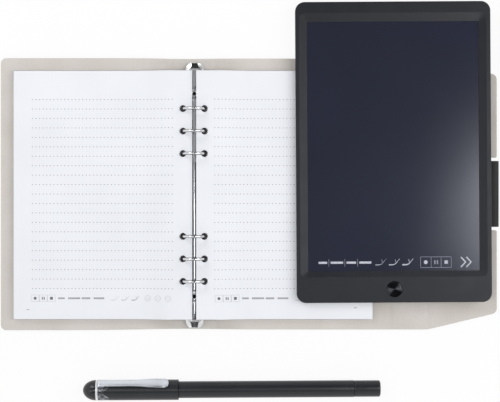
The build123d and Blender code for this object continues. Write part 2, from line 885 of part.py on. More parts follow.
def make_case_screws():
    with BuildPart() as screws:
        extrude_round(tablet_plane.offset(0.1), boss_places, case_screw_head, case_screw_head_height)
        extrude_round(tablet_plane.offset(0.1), boss_places, case_screw, case_screw_depth - 0.2)
    write(screws, "case_screws")


# Pen: every turned piece is drawn as stations and radii and revolved about the pen's axis

pen_along = (cos(radians(pen_turn)), sin(radians(pen_turn)), 0)
pen_origin = (pen_x, pen_y, cap_radius + cap_ring_proud + pen_rest_gap)
pen_profile = Plane(origin=pen_origin, x_dir=pen_along, z_dir=(pen_along[1], -pen_along[0], 0))
pen_axis = Axis(pen_origin, pen_along)


def rolled_plane(roll):
    """Plane through the pen's axis whose normal is turned about the axis, from +Z towards +Y."""
    tilt = radians(roll)
    return Plane(
        origin=pen_origin,
        x_dir=pen_along,
        z_dir=(-pen_along[1] * sin(tilt), pen_along[0] * sin(tilt), cos(tilt)),
    )


def turned(*points):
    with BuildPart() as piece:
        with BuildSketch(pen_profile):
            with BuildLine():
                Polyline(*points, close=True)
            make_face()
        revolve(axis=pen_axis)
    return piece


def tube(start, end, outer, inner):
    return turned((start, inner), (start, outer), (end, outer), (end, inner))


def make_cap_shell():
    """Dome, bright ring and collar of the cap, threaded on the spigot of the cap tube."""
    spigot = cap_radius - collar_depth
    ring_end = cap_dome_base + cap_ring_width
    with BuildPart() as dome:
        with BuildSketch(pen_profile):
            with BuildLine():
                Line((cap_dome_base, 0), (cap_tip, 0))
                EllipticalCenterArc(
                    (cap_dome_base, 0), cap_dome_base - cap_tip, cap_radius, start_angle=90, arc_size=90
                )
                Line((cap_dome_base, cap_radius), (cap_dome_base, 0))
            make_face()
        revolve(axis=pen_axis)
    spigot_hole = tube(cap_dome_base - cap_spigot_length - 0.05, cap_dome_base, spigot + 0.05, 0)
    with dome:
        add(spigot_hole.part, mode=Mode.SUBTRACT)
    write(dome, "pen_cap_dome")
    write(tube(cap_dome_base, ring_end, cap_radius + cap_ring_proud, spigot + 0.02), "pen_cap_ring")
    return spigot, ring_end


def notch_prisms(clearance):
    """Wedges that cut the two notches of the collar, or with a clearance the tongues that fill them."""
    with BuildPart() as wedges:
        for roll in (collar_notch_roll, collar_notch_roll + 180):
            with BuildSketch(rolled_plane(roll)):
                with BuildLine():
                    Polyline(
                        (collar_notch_apex + clearance, 0),
                        (collar_end + 0.5, collar_notch_half_width - clearance),
                        (collar_end + 0.5, -collar_notch_half_width + clearance),
                        close=True,
                    )
                make_face()
            extrude(amount=cap_radius + 1)
    return wedges


def make_cap():
    spigot, ring_end = make_cap_shell()
    collar = tube(ring_end, collar_end, cap_radius, spigot + 0.02)
    with collar:
        add(notch_prisms(0).part, mode=Mode.SUBTRACT)
    write(collar, "pen_cap_collar")
    sleeve = turned(
        (cap_dome_base - cap_spigot_length, 0),
        (cap_dome_base - cap_spigot_length, spigot),
        (collar_end, spigot),
        (collar_end, cap_radius),
        (cap_mouth, cap_radius),
        (cap_mouth, cap_bore_radius),
        (cap_wall_end, cap_bore_radius),
        (cap_wall_end, 0),
    )
    tongues = tube(collar_notch_apex, collar_end, cap_radius, spigot - 0.2)
    with tongues:
        add(notch_prisms(0.05).part, mode=Mode.INTERSECT)
    with sleeve:
        add(tongues.part)
    write(sleeve, "pen_cap_tube")
    liner_outer = cap_bore_radius - 0.05
    liner_inner = liner_outer - liner_wall
    liner = turned(
        (liner_start, 0),
        (liner_start, liner_outer),
        (liner_end, liner_outer),
        (liner_end, liner_inner),
        (liner_start + liner_end_wall, liner_inner),
        (liner_start + liner_end_wall, 0),
    )
    write(liner, "cap_liner")


def make_pocket_clip():
    """Spring clip: a waisted strip that stands off the cap and dips to it near its rounded paddle."""
    inner = cap_radius + clip_lift
    outer = inner + clip_thickness
    touch = cap_radius + clip_touch_gap
    side_view = rolled_plane(clip_roll - 90)
    plan_view = rolled_plane(clip_roll)
    tail = clip_paddle_station + 2
    with BuildPart() as clip:
        with BuildSketch(side_view):
            with BuildLine():
                Line((clip_start, 0), (clip_start, outer - 0.3))
                Line((clip_start, outer - 0.3), (clip_start + 1.2, outer))
                Spline(
                    (clip_start + 1.2, outer),
                    (clip_waist_station, outer + 0.3),
                    (tail, touch + clip_thickness),
                    (clip_end, outer),
                    tangents=((1, 0), (1, 0.5)),
                )
                Line((clip_end, outer), (clip_end, outer - clip_thickness))
                Spline(
                    (clip_end, outer - clip_thickness),
                    (tail, touch),
                    (clip_waist_station, inner + 0.3),
                    (clip_root_end, inner),
                    tangents=((-1, -0.5), (-1, 0)),
                )
                Line((clip_root_end, inner), (clip_root_end, 0))
                Line((clip_root_end, 0), (clip_start, 0))
            make_face()
        extrude(amount=clip_paddle_width / 2, both=True)
        with BuildSketch(plan_view):
            with BuildLine():
                half = (clip_root_width / 2, clip_waist_width / 2, clip_paddle_width / 2)
                for side in (-1, 1):
                    Spline(
                        (clip_start, side * half[0]),
                        (clip_waist_station, side * half[1]),
                        (clip_paddle_station, side * half[2]),
                        (clip_end, 0),
                        tangents=((1, 0), (0, -side)),
                    )
                Line((clip_start, -half[0]), (clip_start, half[0]))
            make_face()
        extrude(amount=outer + 2, mode=Mode.INTERSECT)
        with BuildSketch(pen_profile):
            with BuildLine():
                Polyline(
                    (clip_start - 1, 0),
                    (clip_start - 1, cap_radius + 0.02),
                    (clip_end + 1, cap_radius + 0.02),
                    (clip_end + 1, 0),
                    close=True,
                )
            make_face()
        revolve(axis=pen_axis, mode=Mode.SUBTRACT)
    write(clip, "pocket_clip")


def make_barrel():
    neck_radius = cap_bore_radius - pen_fit
    barrel = turned(
        (neck_start, barrel_bore_radius),
        (neck_start, neck_radius),
        (cap_mouth + barrel_shoulder_gap, neck_radius),
        (cap_mouth + barrel_shoulder_gap, barrel_radius),
        (barrel_end, barrel_radius),
        (barrel_end, barrel_bore_radius),
    )
    write(barrel, "pen_barrel")
    spigot = barrel_bore_radius - 0.05
    bore = refill_radius + pen_fit
    nose = turned(
        (nose_tip, bore),
        (nose_tip, nose_tip_radius),
        (nose_mid, nose_mid_radius),
        (neck_start, nose_radius),
        (neck_start, spigot),
        (neck_start + nose_spigot_length, spigot),
        (neck_start + nose_spigot_length, bore),
    )
    slope = (nose_mid_radius - nose_tip_radius) / (nose_mid - nose_tip)
    window_radius = nose_tip_radius + (window_station - nose_tip) * slope
    down = rolled_plane(180)
    face_point = down.from_local_coords((window_station, 0, window_radius))
    seat = Plane(
        origin=face_point,
        x_dir=down.x_dir + down.z_dir * slope,
        z_dir=down.z_dir - down.x_dir * slope,
    )
    with BuildSketch(seat.offset(-window_depth)) as window_seat:
        Rectangle(window_length + 0.1, window_width + 0.1)
    with nose:
        extrude(window_seat.sketch, amount=window_depth + 1, mode=Mode.SUBTRACT)
    write(nose, "nose_cone")
    with BuildPart() as window:
        with BuildSketch(seat.offset(-window_depth)):
            Rectangle(window_length, window_width)
        extrude(amount=window_depth)
    write(window, "camera_window")


def make_pen_insides():
    refill = turned(
        (refill_tip, 0),
        (refill_tip, refill_tip_radius),
        (nose_tip - 1, refill_radius),
        (refill_end, refill_radius),
        (refill_end, 0),
    )
    write(refill, "ink_refill")
    sensor_start = refill_end + nib_travel + 0.1
    inside = barrel_bore_radius - 0.1
    write(tube(sensor_start, sensor_start + sensor_length, inside, 0), "pressure_sensor")
    with BuildPart() as board:
        with BuildSketch(rolled_plane(0).offset(-pen_board_thickness / 2)):
            with Locations(((pen_board_start + pen_board_end) / 2, 0)):
                Rectangle(pen_board_end - pen_board_start, pen_board_width)
        extrude(amount=pen_board_thickness)
    write(board, "pen_circuit_board")
    battery_end = pen_battery_start + pen_battery_length
    write(tube(pen_battery_start, battery_end, pen_battery_radius, 0), "pen_battery")
    with BuildPart() as plug:
        spigot = barrel_bore_radius - pen_fit
        with BuildSketch(pen_profile):
            with BuildLine():
                start = barrel_end + 0.1
                Line((start - plug_spigot_length, 0), (start - plug_spigot_length, spigot))
                Line((start - plug_spigot_length, spigot), (start, spigot))
                Line((start, spigot), (start, plug_radius))
                Line((start, plug_radius), (plug_end - plug_dome - plug_round, plug_radius))
                corner = (plug_end - plug_dome, plug_radius - plug_round)
                Line((plug_end - plug_dome - plug_round, plug_radius), corner)
                Spline(corner, (plug_end, 0), tangents=((0.4, -1), (0, -1)))
                Line((plug_end, 0), (start - plug_spigot_length, 0))
            make_face()
        revolve(axis=pen_axis)
    write(plug, "end_plug")


make_front_cover()
make_spine()
make_back_cover()
make_fore_edge()
make_flap()
make_pen_loop()
make_cover_plate()
make_rivets()
for side, word in ((-1, "left"), (1, "right")):
    make_hinge_blade(side, f"{word}_hinge_blade")
    make_half_rings(side, f"{word}_half_rings")
for end, word in ((1, "top"), (-1, "bottom")):
    make_lever(end, f"{word}_trigger")
make_paper(-1, 0, stack_thickness, paper_hole, 0, "left_page_block", left_block_inner_edge)
make_paper(1, 0, stack_thickness, paper_hole, 0, "right_page_block")
sheet_lift = stack_thickness + sheet_gap
make_paper(-1, sheet_lift, sheet_thickness, sheet_hole, sheet_inset, "left_leaf")
make_paper(1, sheet_lift, sheet_thickness, sheet_hole, sheet_inset, "right_top_sheet")
make_rear_shell()
make_bezel()
make_screen_layers()
make_button_and_board()
make_battery_bay()
make_lock_slider()
make_case_screws()
make_cap()
make_pocket_clip()
make_barrel()
make_pen_insides()
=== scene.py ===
# %% [markdown]
# # Dressing a smart notebook
# A ring binder lies open on a white table. A writing tablet rests on its right-hand pages, and a capped
# pen lies in front of it. The frame gives every solid in its true place. This lesson replaces the soft
# and the bright ones by finer surfaces, gives every piece a finish, and lights the set from above.

import bpy
import numpy as np
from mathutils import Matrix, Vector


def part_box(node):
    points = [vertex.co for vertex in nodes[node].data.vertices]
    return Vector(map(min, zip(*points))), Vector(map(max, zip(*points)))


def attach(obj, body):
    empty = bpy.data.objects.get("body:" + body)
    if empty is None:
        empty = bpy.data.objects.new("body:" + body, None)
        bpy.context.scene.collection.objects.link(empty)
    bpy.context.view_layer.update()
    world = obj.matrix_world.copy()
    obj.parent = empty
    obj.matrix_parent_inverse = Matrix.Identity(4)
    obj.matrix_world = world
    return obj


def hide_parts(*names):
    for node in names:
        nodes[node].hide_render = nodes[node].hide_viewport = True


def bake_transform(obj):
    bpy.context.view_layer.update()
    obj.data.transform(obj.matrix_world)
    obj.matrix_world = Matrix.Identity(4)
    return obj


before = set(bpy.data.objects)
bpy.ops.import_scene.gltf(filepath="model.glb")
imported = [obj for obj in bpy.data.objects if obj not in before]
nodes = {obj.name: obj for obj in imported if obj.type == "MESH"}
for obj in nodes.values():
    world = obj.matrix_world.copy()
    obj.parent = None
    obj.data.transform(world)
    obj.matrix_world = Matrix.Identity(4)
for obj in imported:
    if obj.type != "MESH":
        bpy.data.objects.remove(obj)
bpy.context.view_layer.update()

MM = 0.001

# %% [markdown]
# ## Camera
# The set is seen from straight above, from about 1.4 m. That distance matters: the tablet lies higher
# than the cover, so it looks a little larger, and its edges lean away from the middle of the picture.

# %% Camera above the binder
camera_data = bpy.data.cameras.new("overhead_camera")
camera = bpy.data.objects.new("overhead_camera", camera_data)
bpy.context.scene.collection.objects.link(camera)
camera.location = (0.0476, -0.0051, 1.4)
camera_data.sensor_width = 36.0
camera_data.lens = 118.2
camera_data.clip_start = 0.05  # metres
bpy.context.scene.camera = camera
bpy.context.scene.view_settings.view_transform = "Standard"
print("camera height in mm:", camera.location.z / MM)

# %% [markdown]
# ## A helper for shader nodes, and one for colours
# Every finish below is a small network. One function adds a node, sets it and links what feeds it.
# Colours are written as they look on a screen, and a shader works with light, so one more function
# turns a written colour into amounts of light. A real surface is never quite even, so most finishes let a
# soft noise wander their colour, their roughness and their height, and one function makes such a finish.
# A noise node mostly gives values from 0.3 to 0.7, so that range is what is spread over two colours.


# %% Nodes and colours
noise_low, noise_high = 0.3, 0.7


def add_node(finish, kind, inputs=None, **settings):
    """Add one node of a kind. Settings go on the node; inputs are numbers or the sockets that feed them."""
    made = finish.node_tree.nodes.new("ShaderNode" + kind)
    for name, value in settings.items():
        setattr(made, name, value)
    for name, value in (inputs or {}).items():
        if isinstance(value, bpy.types.NodeSocket):
            finish.node_tree.links.new(value, made.inputs[name])
        else:
            made.inputs[name].default_value = value
    return made


def light_amounts(written):
    """A hex colour as linear light: c / 12.92 for dark channels, else ((c + 0.055) / 1.055) ** 2.4."""
    channel = np.array([int(written[i : i + 2], 16) for i in (1, 3, 5)]) / 255
    linear = np.where(channel <= 0.04045, channel / 12.92, ((channel + 0.055) / 1.055) ** 2.4)
    return (*linear.tolist(), 1.0)


def new_finish(name, written, roughness, **sockets):
    """A named finish: its shader and, to place patterns on, the point on the piece in metres."""
    finish = bpy.data.materials.new(name)
    finish.use_nodes = True
    shader = finish.node_tree.nodes["Principled BSDF"]
    shader.inputs["Base Color"].default_value = light_amounts(written)
    shader.inputs["Roughness"].default_value = roughness
    for socket, value in sockets.items():
        shader.inputs[socket.replace("_", " ")].default_value = value
    place = add_node(finish, "TexCoord").outputs["Object"]
    return finish, shader, place


def grain(finish, place, size_mm, detail=3.0, stretch=(1, 1, 1)):
    """Soft random pattern whose blotches are about size_mm across, longer where stretch is small."""
    scaled = add_node(finish, "Mapping", {"Vector": place, "Scale": stretch}, vector_type="POINT")
    scale = 0.6 / (size_mm * MM)  # a blotch spans about 0.6 of the noise's own unit
    noise = add_node(finish, "TexNoise", {"Vector": scaled.outputs[0], "Scale": scale, "Detail": detail})
    return noise.outputs["Fac"]


def tint(finish, shader, amount, dark, light):
    """Colour between two written colours, by an amount from 0.3 to 0.7 as a noise gives it."""
    ramp = add_node(finish, "ValToRGB", {"Fac": amount})
    for end, position, written in zip(ramp.color_ramp.elements, (noise_low, noise_high), (dark, light)):
        end.position = position
        end.color = light_amounts(written)
    finish.node_tree.links.new(ramp.outputs["Color"], shader.inputs["Base Color"])
    return ramp.outputs["Color"]


def relief(finish, shader, height, depth_mm, after=None):
    """Bump whose full height is depth_mm, on top of an earlier one."""
    inputs = {"Height": height, "Distance": depth_mm * MM, "Strength": 1.0}
    if after is not None:
        inputs["Normal"] = after
    bump = add_node(finish, "Bump", inputs)
    finish.node_tree.links.new(bump.outputs["Normal"], shader.inputs["Normal"])
    return bump.outputs["Normal"]


def roughen(finish, shader, amount, low, high):
    """Roughness that wanders between low and high with an amount from 0.3 to 0.7."""
    limits = {"From Min": noise_low, "From Max": noise_high, "To Min": low, "To Max": high}
    spread = add_node(finish, "MapRange", {"Value": amount, **limits})
    finish.node_tree.links.new(spread.outputs["Result"], shader.inputs["Roughness"])


def wandering(name, written, roughness, colour=None, rough=None, bumps=None, **sockets):
    """A finish whose colour, roughness and height wander with soft noises, each left out where it is None.

    colour is (blotch size in mm, darker, lighter), rough is (size, low, high) and bumps is (size, detail,
    depth in mm).
    """
    finish, shader, place = new_finish(name, written, roughness, **sockets)
    if colour:
        tint(finish, shader, grain(finish, place, colour[0]), *colour[1:])
    if rough:
        roughen(finish, shader, grain(finish, place, rough[0]), *rough[1:])
    if bumps:
        relief(finish, shader, grain(finish, place, *bumps[:2]), bumps[2])
    return finish


def box_mask(finish, place, centre, half):
    """1 inside a box round a centre in mm: both |x - cx| / half x and |y - cy| / half y are below 1."""
    offset = add_node(finish, "VectorMath", {0: place, 1: np.array(centre) * MM}, operation="SUBTRACT")
    size = add_node(finish, "VectorMath", {0: offset.outputs[0]}, operation="ABSOLUTE")
    per_half = 1 / (np.array(half) * MM)
    share = add_node(finish, "VectorMath", {0: size.outputs[0], 1: per_half}, operation="MULTIPLY")
    part = add_node(finish, "SeparateXYZ", {"Vector": share.outputs[0]})
    largest = add_node(finish, "Math", {0: part.outputs["X"], 1: part.outputs["Y"]}, operation="MAXIMUM")
    return add_node(finish, "Math", {0: largest.outputs[0], 1: 1.0}, operation="LESS_THAN").outputs[0]


print("grey 50 % written is", round(light_amounts("#808080")[0], 3), "of the light")

# %% [markdown]
# ## Light and table
# A product picture like this is lit by soft boxes beside the table. The room has white walls on the left
# and right, white screens low all round, a dim one in front and a grey ceiling straight above, and is dark
# between them. Bright work mirrors that room, which gives it white highlights with dark outlines. A round
# dish hangs overhead on the right, and the screen shows its near rim as a soft glow. With a narrow strip on
# the left it also draws the two bright fans on the turned button.


# %% Soft boxes, room and table
def add_soft_box(name, place, target, size, power, outline="RECTANGLE"):
    """Flat lamp at a place, turned so that it shines at the target."""
    data = bpy.data.lights.new(name, "AREA")
    data.shape = outline
    data.size, data.size_y = size
    data.energy = power
    lamp = bpy.data.objects.new(name, data)
    bpy.context.scene.collection.objects.link(lamp)
    away = np.array(place, float) - np.array(target, float)
    away = away / np.linalg.norm(away)
    side = np.cross((0, 1, 0), away)
    side = side / np.linalg.norm(side)
    up = np.cross(away, side)
    turn = np.eye(4)
    turn[:3, 0], turn[:3, 1], turn[:3, 2], turn[:3, 3] = side, up, away, place
    lamp.matrix_world = turn.T.tolist()


lit_spot = (0.05, 0, 0)
add_soft_box("overhead_dish", (0.626, -0.024, 1.2), lit_spot, (0.5, 0.36), 3.1, "ELLIPSE")
add_soft_box("left_strip", (-0.36, -0.10, 1.2), lit_spot, (0.5, 0.20), 1.6)
add_soft_box("right_soft_box", (1.15, 0.25, 0.95), lit_spot, (0.7, 0.8), 4.4)
add_soft_box("left_soft_box", (-1.0, -0.35, 1.25), lit_spot, (0.5, 0.5), 1.3)
add_soft_box("back_left_soft_box", (-0.70, 0.85, 0.9), lit_spot, (0.6, 0.5), 4.5)

room = bpy.data.worlds.new("studio_room")
bpy.context.scene.world = room
room.use_nodes = True
direction = add_node(room, "TexCoord").outputs["Generated"]
part = add_node(room, "SeparateXYZ", {"Vector": direction})
sideways = add_node(room, "Math", {0: part.outputs["X"]}, operation="ABSOLUTE").outputs[0]
forward = add_node(room, "Math", {0: part.outputs["Y"], 1: -1.0}, operation="MULTIPLY").outputs[0]
skyward = part.outputs["Z"]
brightest = 0.03  # the dark between the screens
for feed, start, end, level in (
    (sideways, 0.52, 0.66, 1.0),  # walls on the left and right
    (skyward, 0.955, 0.985, 0.42),  # ceiling
    (skyward, 0.46, 0.32, 1.0),  # low screens all round
    (forward, 0.38, 0.56, 0.95),  # front screen
):
    band = add_node(room, "MapRange", {"Value": feed, "From Min": start, "From Max": end, "To Max": level})
    both = {0: band.outputs["Result"], 1: brightest}
    brightest = add_node(room, "Math", both, operation="MAXIMUM").outputs[0]
backdrop = room.node_tree.nodes["Background"]
room.node_tree.links.new(brightest, backdrop.inputs["Color"])
backdrop.inputs["Strength"].default_value = 0.92

table_top, table_shader, place = new_finish("white_table_board", "#F6F6F6", 0.7)
wear = grain(table_top, place, 120.0)
tint(table_top, table_shader, wear, "#F5F5F5", "#F7F7F7")
# The white background is emission that only camera, mirror and glass rays see. The rest is plain board.
rays = add_node(table_top, "LightPath")
seen = rays.outputs["Is Camera Ray"]
for ray in ("Is Glossy Ray", "Is Transmission Ray"):
    seen = add_node(table_top, "Math", {0: seen, 1: rays.outputs[ray]}, operation="MAXIMUM").outputs[0]
share = add_node(table_top, "Math", {0: seen, 1: 0.9}, operation="MULTIPLY")
white = add_node(table_top, "Emission", {"Strength": 1.0})
board_and_white = {0: share.outputs[0], 1: table_shader.outputs["BSDF"], 2: white.outputs["Emission"]}
mixed = add_node(table_top, "MixShader", board_and_white)
output = table_top.node_tree.nodes["Material Output"]
table_top.node_tree.links.new(mixed.outputs[0], output.inputs["Surface"])

table_mesh = bpy.data.meshes.new("table")
reach, table_z = 3, -0.0001  # metres; a tenth of a millimetre below the cover
corners = [(x * reach, y * reach, table_z) for x, y in ((-1, -1), (1, -1), (1, 1), (-1, 1))]
table_mesh.from_pydata(corners, [], [(0, 1, 2, 3)])
table_mesh.materials.append(table_top)
table = bpy.data.objects.new("table", table_mesh)
bpy.context.scene.collection.objects.link(table)

# %% [markdown]
# ## Helpers for shapes
# Every new surface is a grid of points that one formula gives. The faces follow from the order of the
# points, so they come from one function for all pieces, and a tube of points gets a flat face over each
# end. A closed piece must have its faces outwards, so its signed volume is worked out, and the faces are
# turned if it is negative. That only works where all faces of a piece are wound the same way round.


# %% Grids and pieces
def grid_faces(rows, columns, wrap_rows=False, wrap_columns=False):
    """Quads between neighbouring points of a grid; a wrapped side joins its last line to its first."""
    i = np.arange(rows if wrap_rows else rows - 1)[:, None]
    j = np.arange(columns if wrap_columns else columns - 1)[None, :]
    i2, j2 = (i + 1) % rows, (j + 1) % columns
    quads = [i * columns + j, i2 * columns + j, i2 * columns + j2, i * columns + j2]
    return np.stack(quads, -1).reshape(-1, 4).tolist()


def capped_faces(rows, columns):
    """Sides of a tube of points, and a flat face over its first and last row, wound as the sides are."""
    first = list(range(columns))
    last = list(range((rows - 1) * columns, rows * columns))
    return grid_faces(rows, columns, wrap_columns=True) + [first, last[::-1]]


def joined(shapes):
    """Several shapes as one: the faces of each count on from the points before it."""
    points, faces, before = [], [], 0
    for more_points, more_faces in shapes:
        points.append(more_points)
        faces += [[corner + before for corner in face] for face in more_faces]
        before += len(more_points)
    return np.concatenate(points), faces


def signed_volume(points, faces):
    """Sum over the faces, cut into triangles, of a . (b x c) / 6."""
    total = 0.0
    for size in {len(face) for face in faces}:
        corner = np.array([face for face in faces if len(face) == size])
        first = points[corner[:, 0]]
        for k in range(1, size - 1):
            total += np.einsum("ij,ij->", first, np.cross(points[corner[:, k]], points[corner[:, k + 1]]))
    return total / 6


def shape_piece(name, shape, finish, sharp=32.0):
    """Mesh object from points in mm and faces. Smooth except over edges sharper than the given angle."""
    points, faces = np.asarray(shape[0], float).reshape(-1, 3), shape[1]
    volume = signed_volume(points, faces)
    if volume < 0:
        faces = [tuple(reversed(face)) for face in faces]
    mesh = bpy.data.meshes.new(name)
    mesh.from_pydata((points * MM).tolist(), [], [tuple(face) for face in faces])
    mesh.polygons.foreach_set("use_smooth", np.ones(len(faces), bool))
    mesh.set_sharp_from_angle(angle=np.radians(sharp))
    mesh.materials.append(finish)
    piece = bpy.data.objects.new(name, mesh)
    bpy.context.scene.collection.objects.link(piece)
    print(f"{name}: {len(points)} points, {len(faces)} faces, {abs(volume):.0f} mm3")
    return piece


def seat(piece, body, *stands_for, slot=None):
    """The piece moves with a body and stands for nodes of the frame."""
    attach(piece, body)
    if stands_for:
        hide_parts(*stands_for)
    return piece


def full_turn(sides):
    """Evenly spaced angles round a circle, the last one a step before the first."""
    return np.linspace(0, 2 * np.pi, sides + 1)[:-1]


def round_profile(points, cut, steps=5):
    """Polyline whose inner corners B become arcs (1-t)^2 P + 2t(1-t) B + t^2 Q, P and Q a cut from B."""
    points = np.asarray(points, float)
    before, corner, after = points[:-2, None], points[1:-1, None], points[2:, None]
    t = np.linspace(0, 1, steps)[None, :, None]
    reach_p = np.linalg.norm(before - corner, axis=-1, keepdims=True)
    reach_q = np.linalg.norm(after - corner, axis=-1, keepdims=True)
    p = corner + (before - corner) * np.minimum(cut / reach_p, 0.45)
    q = corner + (after - corner) * np.minimum(cut / reach_q, 0.45)
    arcs = (1 - t) ** 2 * p + 2 * t * (1 - t) * corner + t**2 * q
    return np.concatenate([points[:1], arcs.reshape(-1, points.shape[1]), points[-1:]])


def smooth_step(t):
    """0 below 0, 1 above 1, and 3t^2 - 2t^3 between."""
    t = np.clip(t, 0, 1)
    return t * t * (3 - 2 * t)


chance = np.random.default_rng(7)
print("helpers ready")

# %% [markdown]
# ## Leather and lining
# Such a cover is two sheets of coated fabric glued round boards. Outside is a dark grained sheet, pressed
# with a pebble pattern by a roller, so it has small shiny cells and matt valleys. Inside is a warm grey
# sheet with a soft nap, which has no shine, a fine fleck, and cloudy patches where hands brushed the nap.
# The real pebbles are about 1 mm and the real fleck is 0.1 mm, and the fleck is drawn at 0.9 mm to show.

# %% Finishes of the cover
pebble_mm = 1.1
cover_leather, shader, place = new_finish(
    "embossed_black_leatherette", "#2C2C2E", 0.48, Specular_IOR_Level=0.42
)
pebble = {"Vector": place, "Scale": 1 / (pebble_mm * MM), "Randomness": 0.9}
cells = add_node(cover_leather, "TexVoronoi", pebble, feature="F1")
tint(cover_leather, shader, grain(cover_leather, place, 18.0), "#27272A", "#323234")
roughen(cover_leather, shader, grain(cover_leather, place, 6.0), 0.42, 0.58)
relief(cover_leather, shader, cells.outputs["Distance"], 0.10)

cover_lining, shader, place = new_finish(
    "napped_grey_lining", "#D6D0CA", 0.92, Sheen_Weight=0.05, Sheen_Roughness=0.5, Specular_IOR_Level=0.25
)
clouds = grain(cover_lining, place, 22.0, 4.0)
fleck = grain(cover_lining, place, 0.9, 2.0)
fleck_share = 0.35
brushed_nap = add_node(cover_lining, "Mix", {0: fleck_share, 2: clouds, 3: fleck}, data_type="FLOAT")
tint(cover_lining, shader, brushed_nap.outputs[0], "#CBC5BE", "#DAD5D0")
nap = relief(cover_lining, shader, fleck, 0.05)
relief(cover_lining, shader, clouds, 0.25, nap)
print("cover finishes:", cover_leather.name, cover_lining.name)

# %% [markdown]
# ## Cover panels
# Each panel is a flat slab whose free edges are turned over a board, so they roll round. It could be a
# box with a bevel, but the roll must stop at a crease. So a rim profile is carried along the outline, and
# every point of the outline knows which way the rim pulls in: on a crease it doesn't pull in across it.


# %% Outline with round corners
def round_outline(corners, arc=9):
    """Points and outward directions round a counter-clockwise outline of (x, y, radius) corners.

    A corner's arc is centre + s r n, s is 1 where it bulges and -1 in a notch, and n turns from the first
    edge's normal to the second's. Radius None marks a crease corner, which pulls in along y alone, and
    radius 0 a point on a long edge, whose normal is the mean of its two neighbours'.
    """
    places, pulls = [], []
    count = len(corners)
    spot = np.array([corner[:2] for corner in corners], float)
    for k, radius in enumerate(corner[2] for corner in corners):
        ahead, behind = spot[(k + 1) % count] - spot[k], spot[k] - spot[k - 1]
        n1 = np.array([behind[1], -behind[0]]) / np.linalg.norm(behind)
        n2 = np.array([ahead[1], -ahead[0]]) / np.linalg.norm(ahead)
        if radius is None:
            free = n1 if abs(n1[1]) > abs(n2[1]) else n2
            places.append(spot[k][None])
            pulls.append(np.array([[0, 1 / free[1]]]))
            continue
        if radius == 0:
            places.append(spot[k][None])
            pulls.append(((n1 + n2) / (1 + n1 @ n2))[None])
            continue
        bulge = np.sign(behind[0] * ahead[1] - behind[1] * ahead[0])
        centre = spot[k] - bulge * radius * (n1 + n2) / (1 + n1 @ n2)
        share = np.linspace(0, 1, arc)[:, None]
        normal = n1 * (1 - share) + n2 * share
        normal /= np.linalg.norm(normal, axis=1, keepdims=True)
        places.append(centre + bulge * radius * normal)
        pulls.append(normal)
    return np.concatenate(places), np.concatenate(pulls)


def slab_from_outline(corners, rim):
    """Closed slab: loop k is the outline pulled in by rim[k][0] at height rim[k][1]; both ends are flat."""
    places, pulls = round_outline(corners)
    rim = np.asarray(rim, float)
    level = places[None] - pulls[None] * rim[:, 0, None, None]
    height = np.broadcast_to(rim[:, 1, None, None], (*level.shape[:2], 1))
    points = np.concatenate([level, height], -1)
    return points, capped_faces(*points.shape[:2])


cover_top, leather_top, lining_low = 3.0, 2.75, 2.45
roll_width = 0.9  # how far a rim reaches in before the slab is flat
lining_inset = 0.14  # the lining ends just inside the leather
leather_rim = [(roll_width, 0.0), (0.0, 0.0), (0.0, leather_top), (roll_width, leather_top)]
leather_rim = round_profile(leather_rim, 0.8)
lining_rim = [(lining_inset, lining_low), (lining_inset, cover_top)]
lining_rim = round_profile([(roll_width, lining_low), *lining_rim, (roll_width, cover_top)], 0.22)
fold_half = 3.5
creases = {"front": -19.0, "back": 19.0, "fore_edge": 166.5, "flap": 199.0}
print("rim points:", len(leather_rim), len(lining_rim))

# %% [markdown]
# The long edges of a real cover aren't ruler-straight: the turned-in leather pulls them in a little at
# the spine, where it is folded most. Two formulas give the top and bottom edge at any place along X.


# %% Long edges of the cover
def top_edge(x):
    """116.45 mm on the far left, 0.35 lower from the spine on, less a dip 0.45 exp(-d^2) round x = -12."""
    return 116.45 - 0.35 * smooth_step((x + 60) / 80) - 0.45 * np.exp(-(((x + 12) / 26) ** 2))


def bottom_edge(x):
    """-115 mm on the far left, 0.6 higher from the spine on, plus a rise 0.5 exp(-d^2) round x = -8."""
    return -115.0 + 0.6 * smooth_step((x + 110) / 90) + 0.5 * np.exp(-(((x + 8) / 40) ** 2))


def long_run(start, end, edge, count=12):
    """Corner entries of no radius along a long edge, without its two ends."""
    stations = np.linspace(start, end, count + 2)[1:-1]
    return [(float(x), float(edge(x)), 0.0) for x in stations]


print("edge dips in mm:", [round(float(top_edge(x)), 2) for x in (-160, -12, 100)])

# %% [markdown]
# The five panels from left to right: front cover, spine, back cover, fore-edge strip and flap. The flap
# narrows towards its end, and a notch in it leaves room for the pen loop.

# %% Five panels, each a leather slab and a lining
corner_radius = 4.5


def panel_corners(left, right, first_free):
    """Corners of a panel between two creases; its left side may be a free edge with round corners."""
    radius = corner_radius if first_free else None
    corners = [(left, top_edge(left), radius), (left, bottom_edge(left), radius)]
    corners += long_run(left, right, bottom_edge)
    corners += [(right, bottom_edge(right), None), (right, top_edge(right), None)]
    return corners + long_run(right, left, top_edge)


